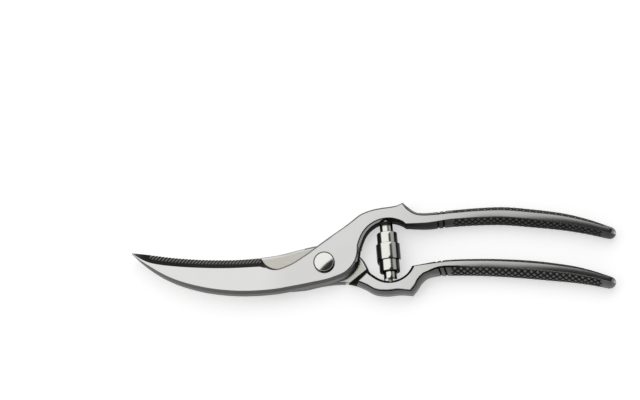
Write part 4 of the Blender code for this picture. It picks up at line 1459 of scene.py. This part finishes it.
class SHEARS_OT_spring(bpy.types.Operator):
    """Wind the double volute spring and set its two pegs"""

    bl_idname = "shears.spring"
    bl_label = "Spring and pegs"

    def execute(self, context):
        finish = context.scene.shears_finish
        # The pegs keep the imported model's own plain steel, where it brings one
        plain = bpy.data.materials.get("plain_steel") or steel("turned_steel", finish.plain)
        upper, lower = spring_seats()
        profile = [
            (0.0, PEG_PROUD),
            (PEG_RADIUS - PEG_NOSE, PEG_PROUD),
            (PEG_RADIUS, PEG_PROUD - PEG_NOSE),
            (PEG_RADIUS, -PEG_SUNK),
            (0.0, -PEG_SUNK),
        ]
        for name, seat, towards, body in (
            ("upper", upper, lower, "front_half"), ("lower", lower, upper, "rear_half")
        ):
            mesh = turned_mesh(f"{name}_peg", profile, upright(seat, towards))
            add_piece(mesh, [plain], body, f"{name}_spring_peg")

        end_radius = SPRING_RADIUS - sum(stage_steps())
        sag = ARCH_RADIUS - math.sqrt(ARCH_RADIUS**2 - end_radius**2)
        dip = CRADLE_RADIUS - math.sqrt(CRADLE_RADIUS**2 - end_radius**2)
        length = (upper - lower).length - sag - dip - 2 * CLEARANCE
        radius, height, angle = strip_path(length)
        outline = strip_profile()
        reach = radius[:, None] + outline[:, 0]
        x, y = reach * np.cos(angle)[:, None], reach * np.sin(angle)[:, None]
        rings = np.stack([x, y, height[:, None] + outline[:, 1]], axis=-1)
        placed = upright(lower, upper)
        front = placed.to_3x3().inverted() @ Vector((0.0, 0.0, 1.0))
        hollow = spring_mask(outline, height, angle, length, math.atan2(front.y, front.x))
        mesh = tube_mesh("volute_spring", rings, hollow=hollow)
        mesh.transform(placed @ Matrix.Translation((0.0, 0.0, dip + CLEARANCE)))
        strip = steel("spring_strip", finish.spring, finish.painted_shade)
        spring = add_piece(mesh, [strip], None, "buffer_spring")
        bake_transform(spring)
        return {"FINISHED"}


def floor_paper(colour):
    """Matt floor that shines only to the camera and to rays that are reflected or pass through."""
    paper = bpy.data.materials.new("floor_paper")
    paper.use_nodes = True
    tree = paper.node_tree
    shader = tree.nodes["Principled BSDF"]
    shader.inputs["Base Color"].default_value = (*colour, 1.0)
    shader.inputs["Roughness"].default_value = FLOOR_ROUGHNESS
    shader.inputs["Specular IOR Level"].default_value = 0.0
    light = node(tree, "ShaderNodeLightPath")
    seen = math_node(tree, "ADD", light.outputs["Is Camera Ray"], light.outputs["Is Glossy Ray"])
    seen = math_node(tree, "ADD", seen, light.outputs["Is Transmission Ray"])
    lift = math_node(tree, "MULTIPLY", math_node(tree, "MINIMUM", seen, 1.0), FLOOR_LIFT)
    shader.inputs["Emission Color"].default_value = (1.0, 1.0, 1.0, 1.0)
    tree.links.new(lift, shader.inputs["Emission Strength"])
    return paper


def room_light(stage):
    """Sky over a room: bright on the window side, dim on the other, with grey walls all round."""
    world = bpy.data.worlds.new("room")
    world.use_nodes = True
    tree = world.node_tree
    way = node(tree, "ShaderNodeTexCoord").outputs["Generated"]
    height = node(tree, "ShaderNodeSeparateXYZ", {0: way}).outputs["Z"]
    side = node(tree, "ShaderNodeVectorMath", {0: way, 1: WINDOW_SIDE}, operation="DOT_PRODUCT")
    lit = ramp(tree, side.outputs["Value"], -WINDOW_BLUR, WINDOW_BLUR)
    bright = ramp(tree, height, *HORIZON, stage.walls, stage.world)
    dim = ramp(tree, height, *CEILING, stage.walls, stage.ceiling)
    more = math_node(tree, "MULTIPLY", lit, math_node(tree, "SUBTRACT", bright, dim))
    background = tree.nodes["Background"]
    background.inputs["Color"].default_value = (1.0, 1.0, 1.0, 1.0)
    tree.links.new(math_node(tree, "ADD", dim, more), background.inputs["Strength"])
    return world


def camera_place():
    """The camera's placement: square axes from the ways back and right, at its distance."""
    back = Vector(CAMERA_BACK).normalized()
    right = Vector(CAMERA_RIGHT)
    right = (right - back * right.dot(back)).normalized()
    placed = Matrix((right, back.cross(right), back)).transposed().to_4x4()
    placed.translation = Vector(CAMERA_AIM) + back * CAMERA_DISTANCE
    return placed


class SHEARS_OT_stage(bpy.types.Operator):
    """Lay the floor, light the room and set up the camera"""

    bl_idname = "shears.stage"
    bl_label = "Stage"

    def execute(self, context):
        scene = context.scene
        stage = scene.shears_stage
        mesh = bpy.data.meshes.new("floor")
        low, high = -FLOOR_HALF, FLOOR_HALF
        plan = ((low, low), (high, low), (high, high), (low, high))
        mesh.from_pydata([(x, y, -FLOOR_DROP) for x, y in plan], [], [(0, 1, 2, 3)])
        mesh.materials.append(floor_paper(stage.floor))
        floor = bpy.data.objects.new("floor", mesh)
        scene.collection.objects.link(floor)
        scene.world = room_light(stage)
        scene.view_settings.view_transform = "Standard"
        data = bpy.data.cameras.new("camera")
        data.sensor_width = CAMERA_SENSOR
        data.lens = stage.lens
        data.clip_start = CAMERA_NEAR
        camera = bpy.data.objects.new("camera", data)
        scene.collection.objects.link(camera)
        camera.matrix_world = camera_place()
        scene.camera = camera
        return {"FINISHED"}


OPERATORS = (
    SHEARS_OT_stage, SHEARS_OT_front_lever, SHEARS_OT_rear_lever, SHEARS_OT_pivot, SHEARS_OT_spring
)


class SHEARS_PT_panel(bpy.types.Panel):
    """Lists the pieces of the shears"""

    bl_idname = "SHEARS_PT_panel"
    bl_label = "Poultry shears"
    bl_space_type = "VIEW_3D"
    bl_region_type = "UI"
    bl_category = "Shears"

    def draw(self, context):
        for operator in OPERATORS:
            self.layout.operator(operator.bl_idname)
        scene = context.scene
        for settings in (scene.shears_form, scene.shears_finish, scene.shears_stage):
            for label in settings.__annotations__:
                self.layout.prop(settings, label)


CLASSES = (ShearsForm, ShearsFinish, ShearsStage, *OPERATORS, SHEARS_PT_panel)


def register():
    """Register the classes and hang their settings on the scene."""
    for cls in CLASSES:
        bpy.utils.register_class(cls)
    bpy.types.Scene.shears_form = PointerProperty(type=ShearsForm)
    bpy.types.Scene.shears_finish = PointerProperty(type=ShearsFinish)
    bpy.types.Scene.shears_stage = PointerProperty(type=ShearsStage)


def unregister():
    """Take the settings and the classes away again."""
    del bpy.types.Scene.shears_stage
    del bpy.types.Scene.shears_finish
    del bpy.types.Scene.shears_form
    for cls in reversed(CLASSES):
        bpy.utils.unregister_class(cls)


def main():
    """Build the shears."""
    register()
    bpy.ops.shears.stage()
    bpy.ops.shears.front_lever()
    bpy.ops.shears.rear_lever()
    bpy.ops.shears.pivot()
    bpy.ops.shears.spring()


if __name__ == "__main__":
    main()
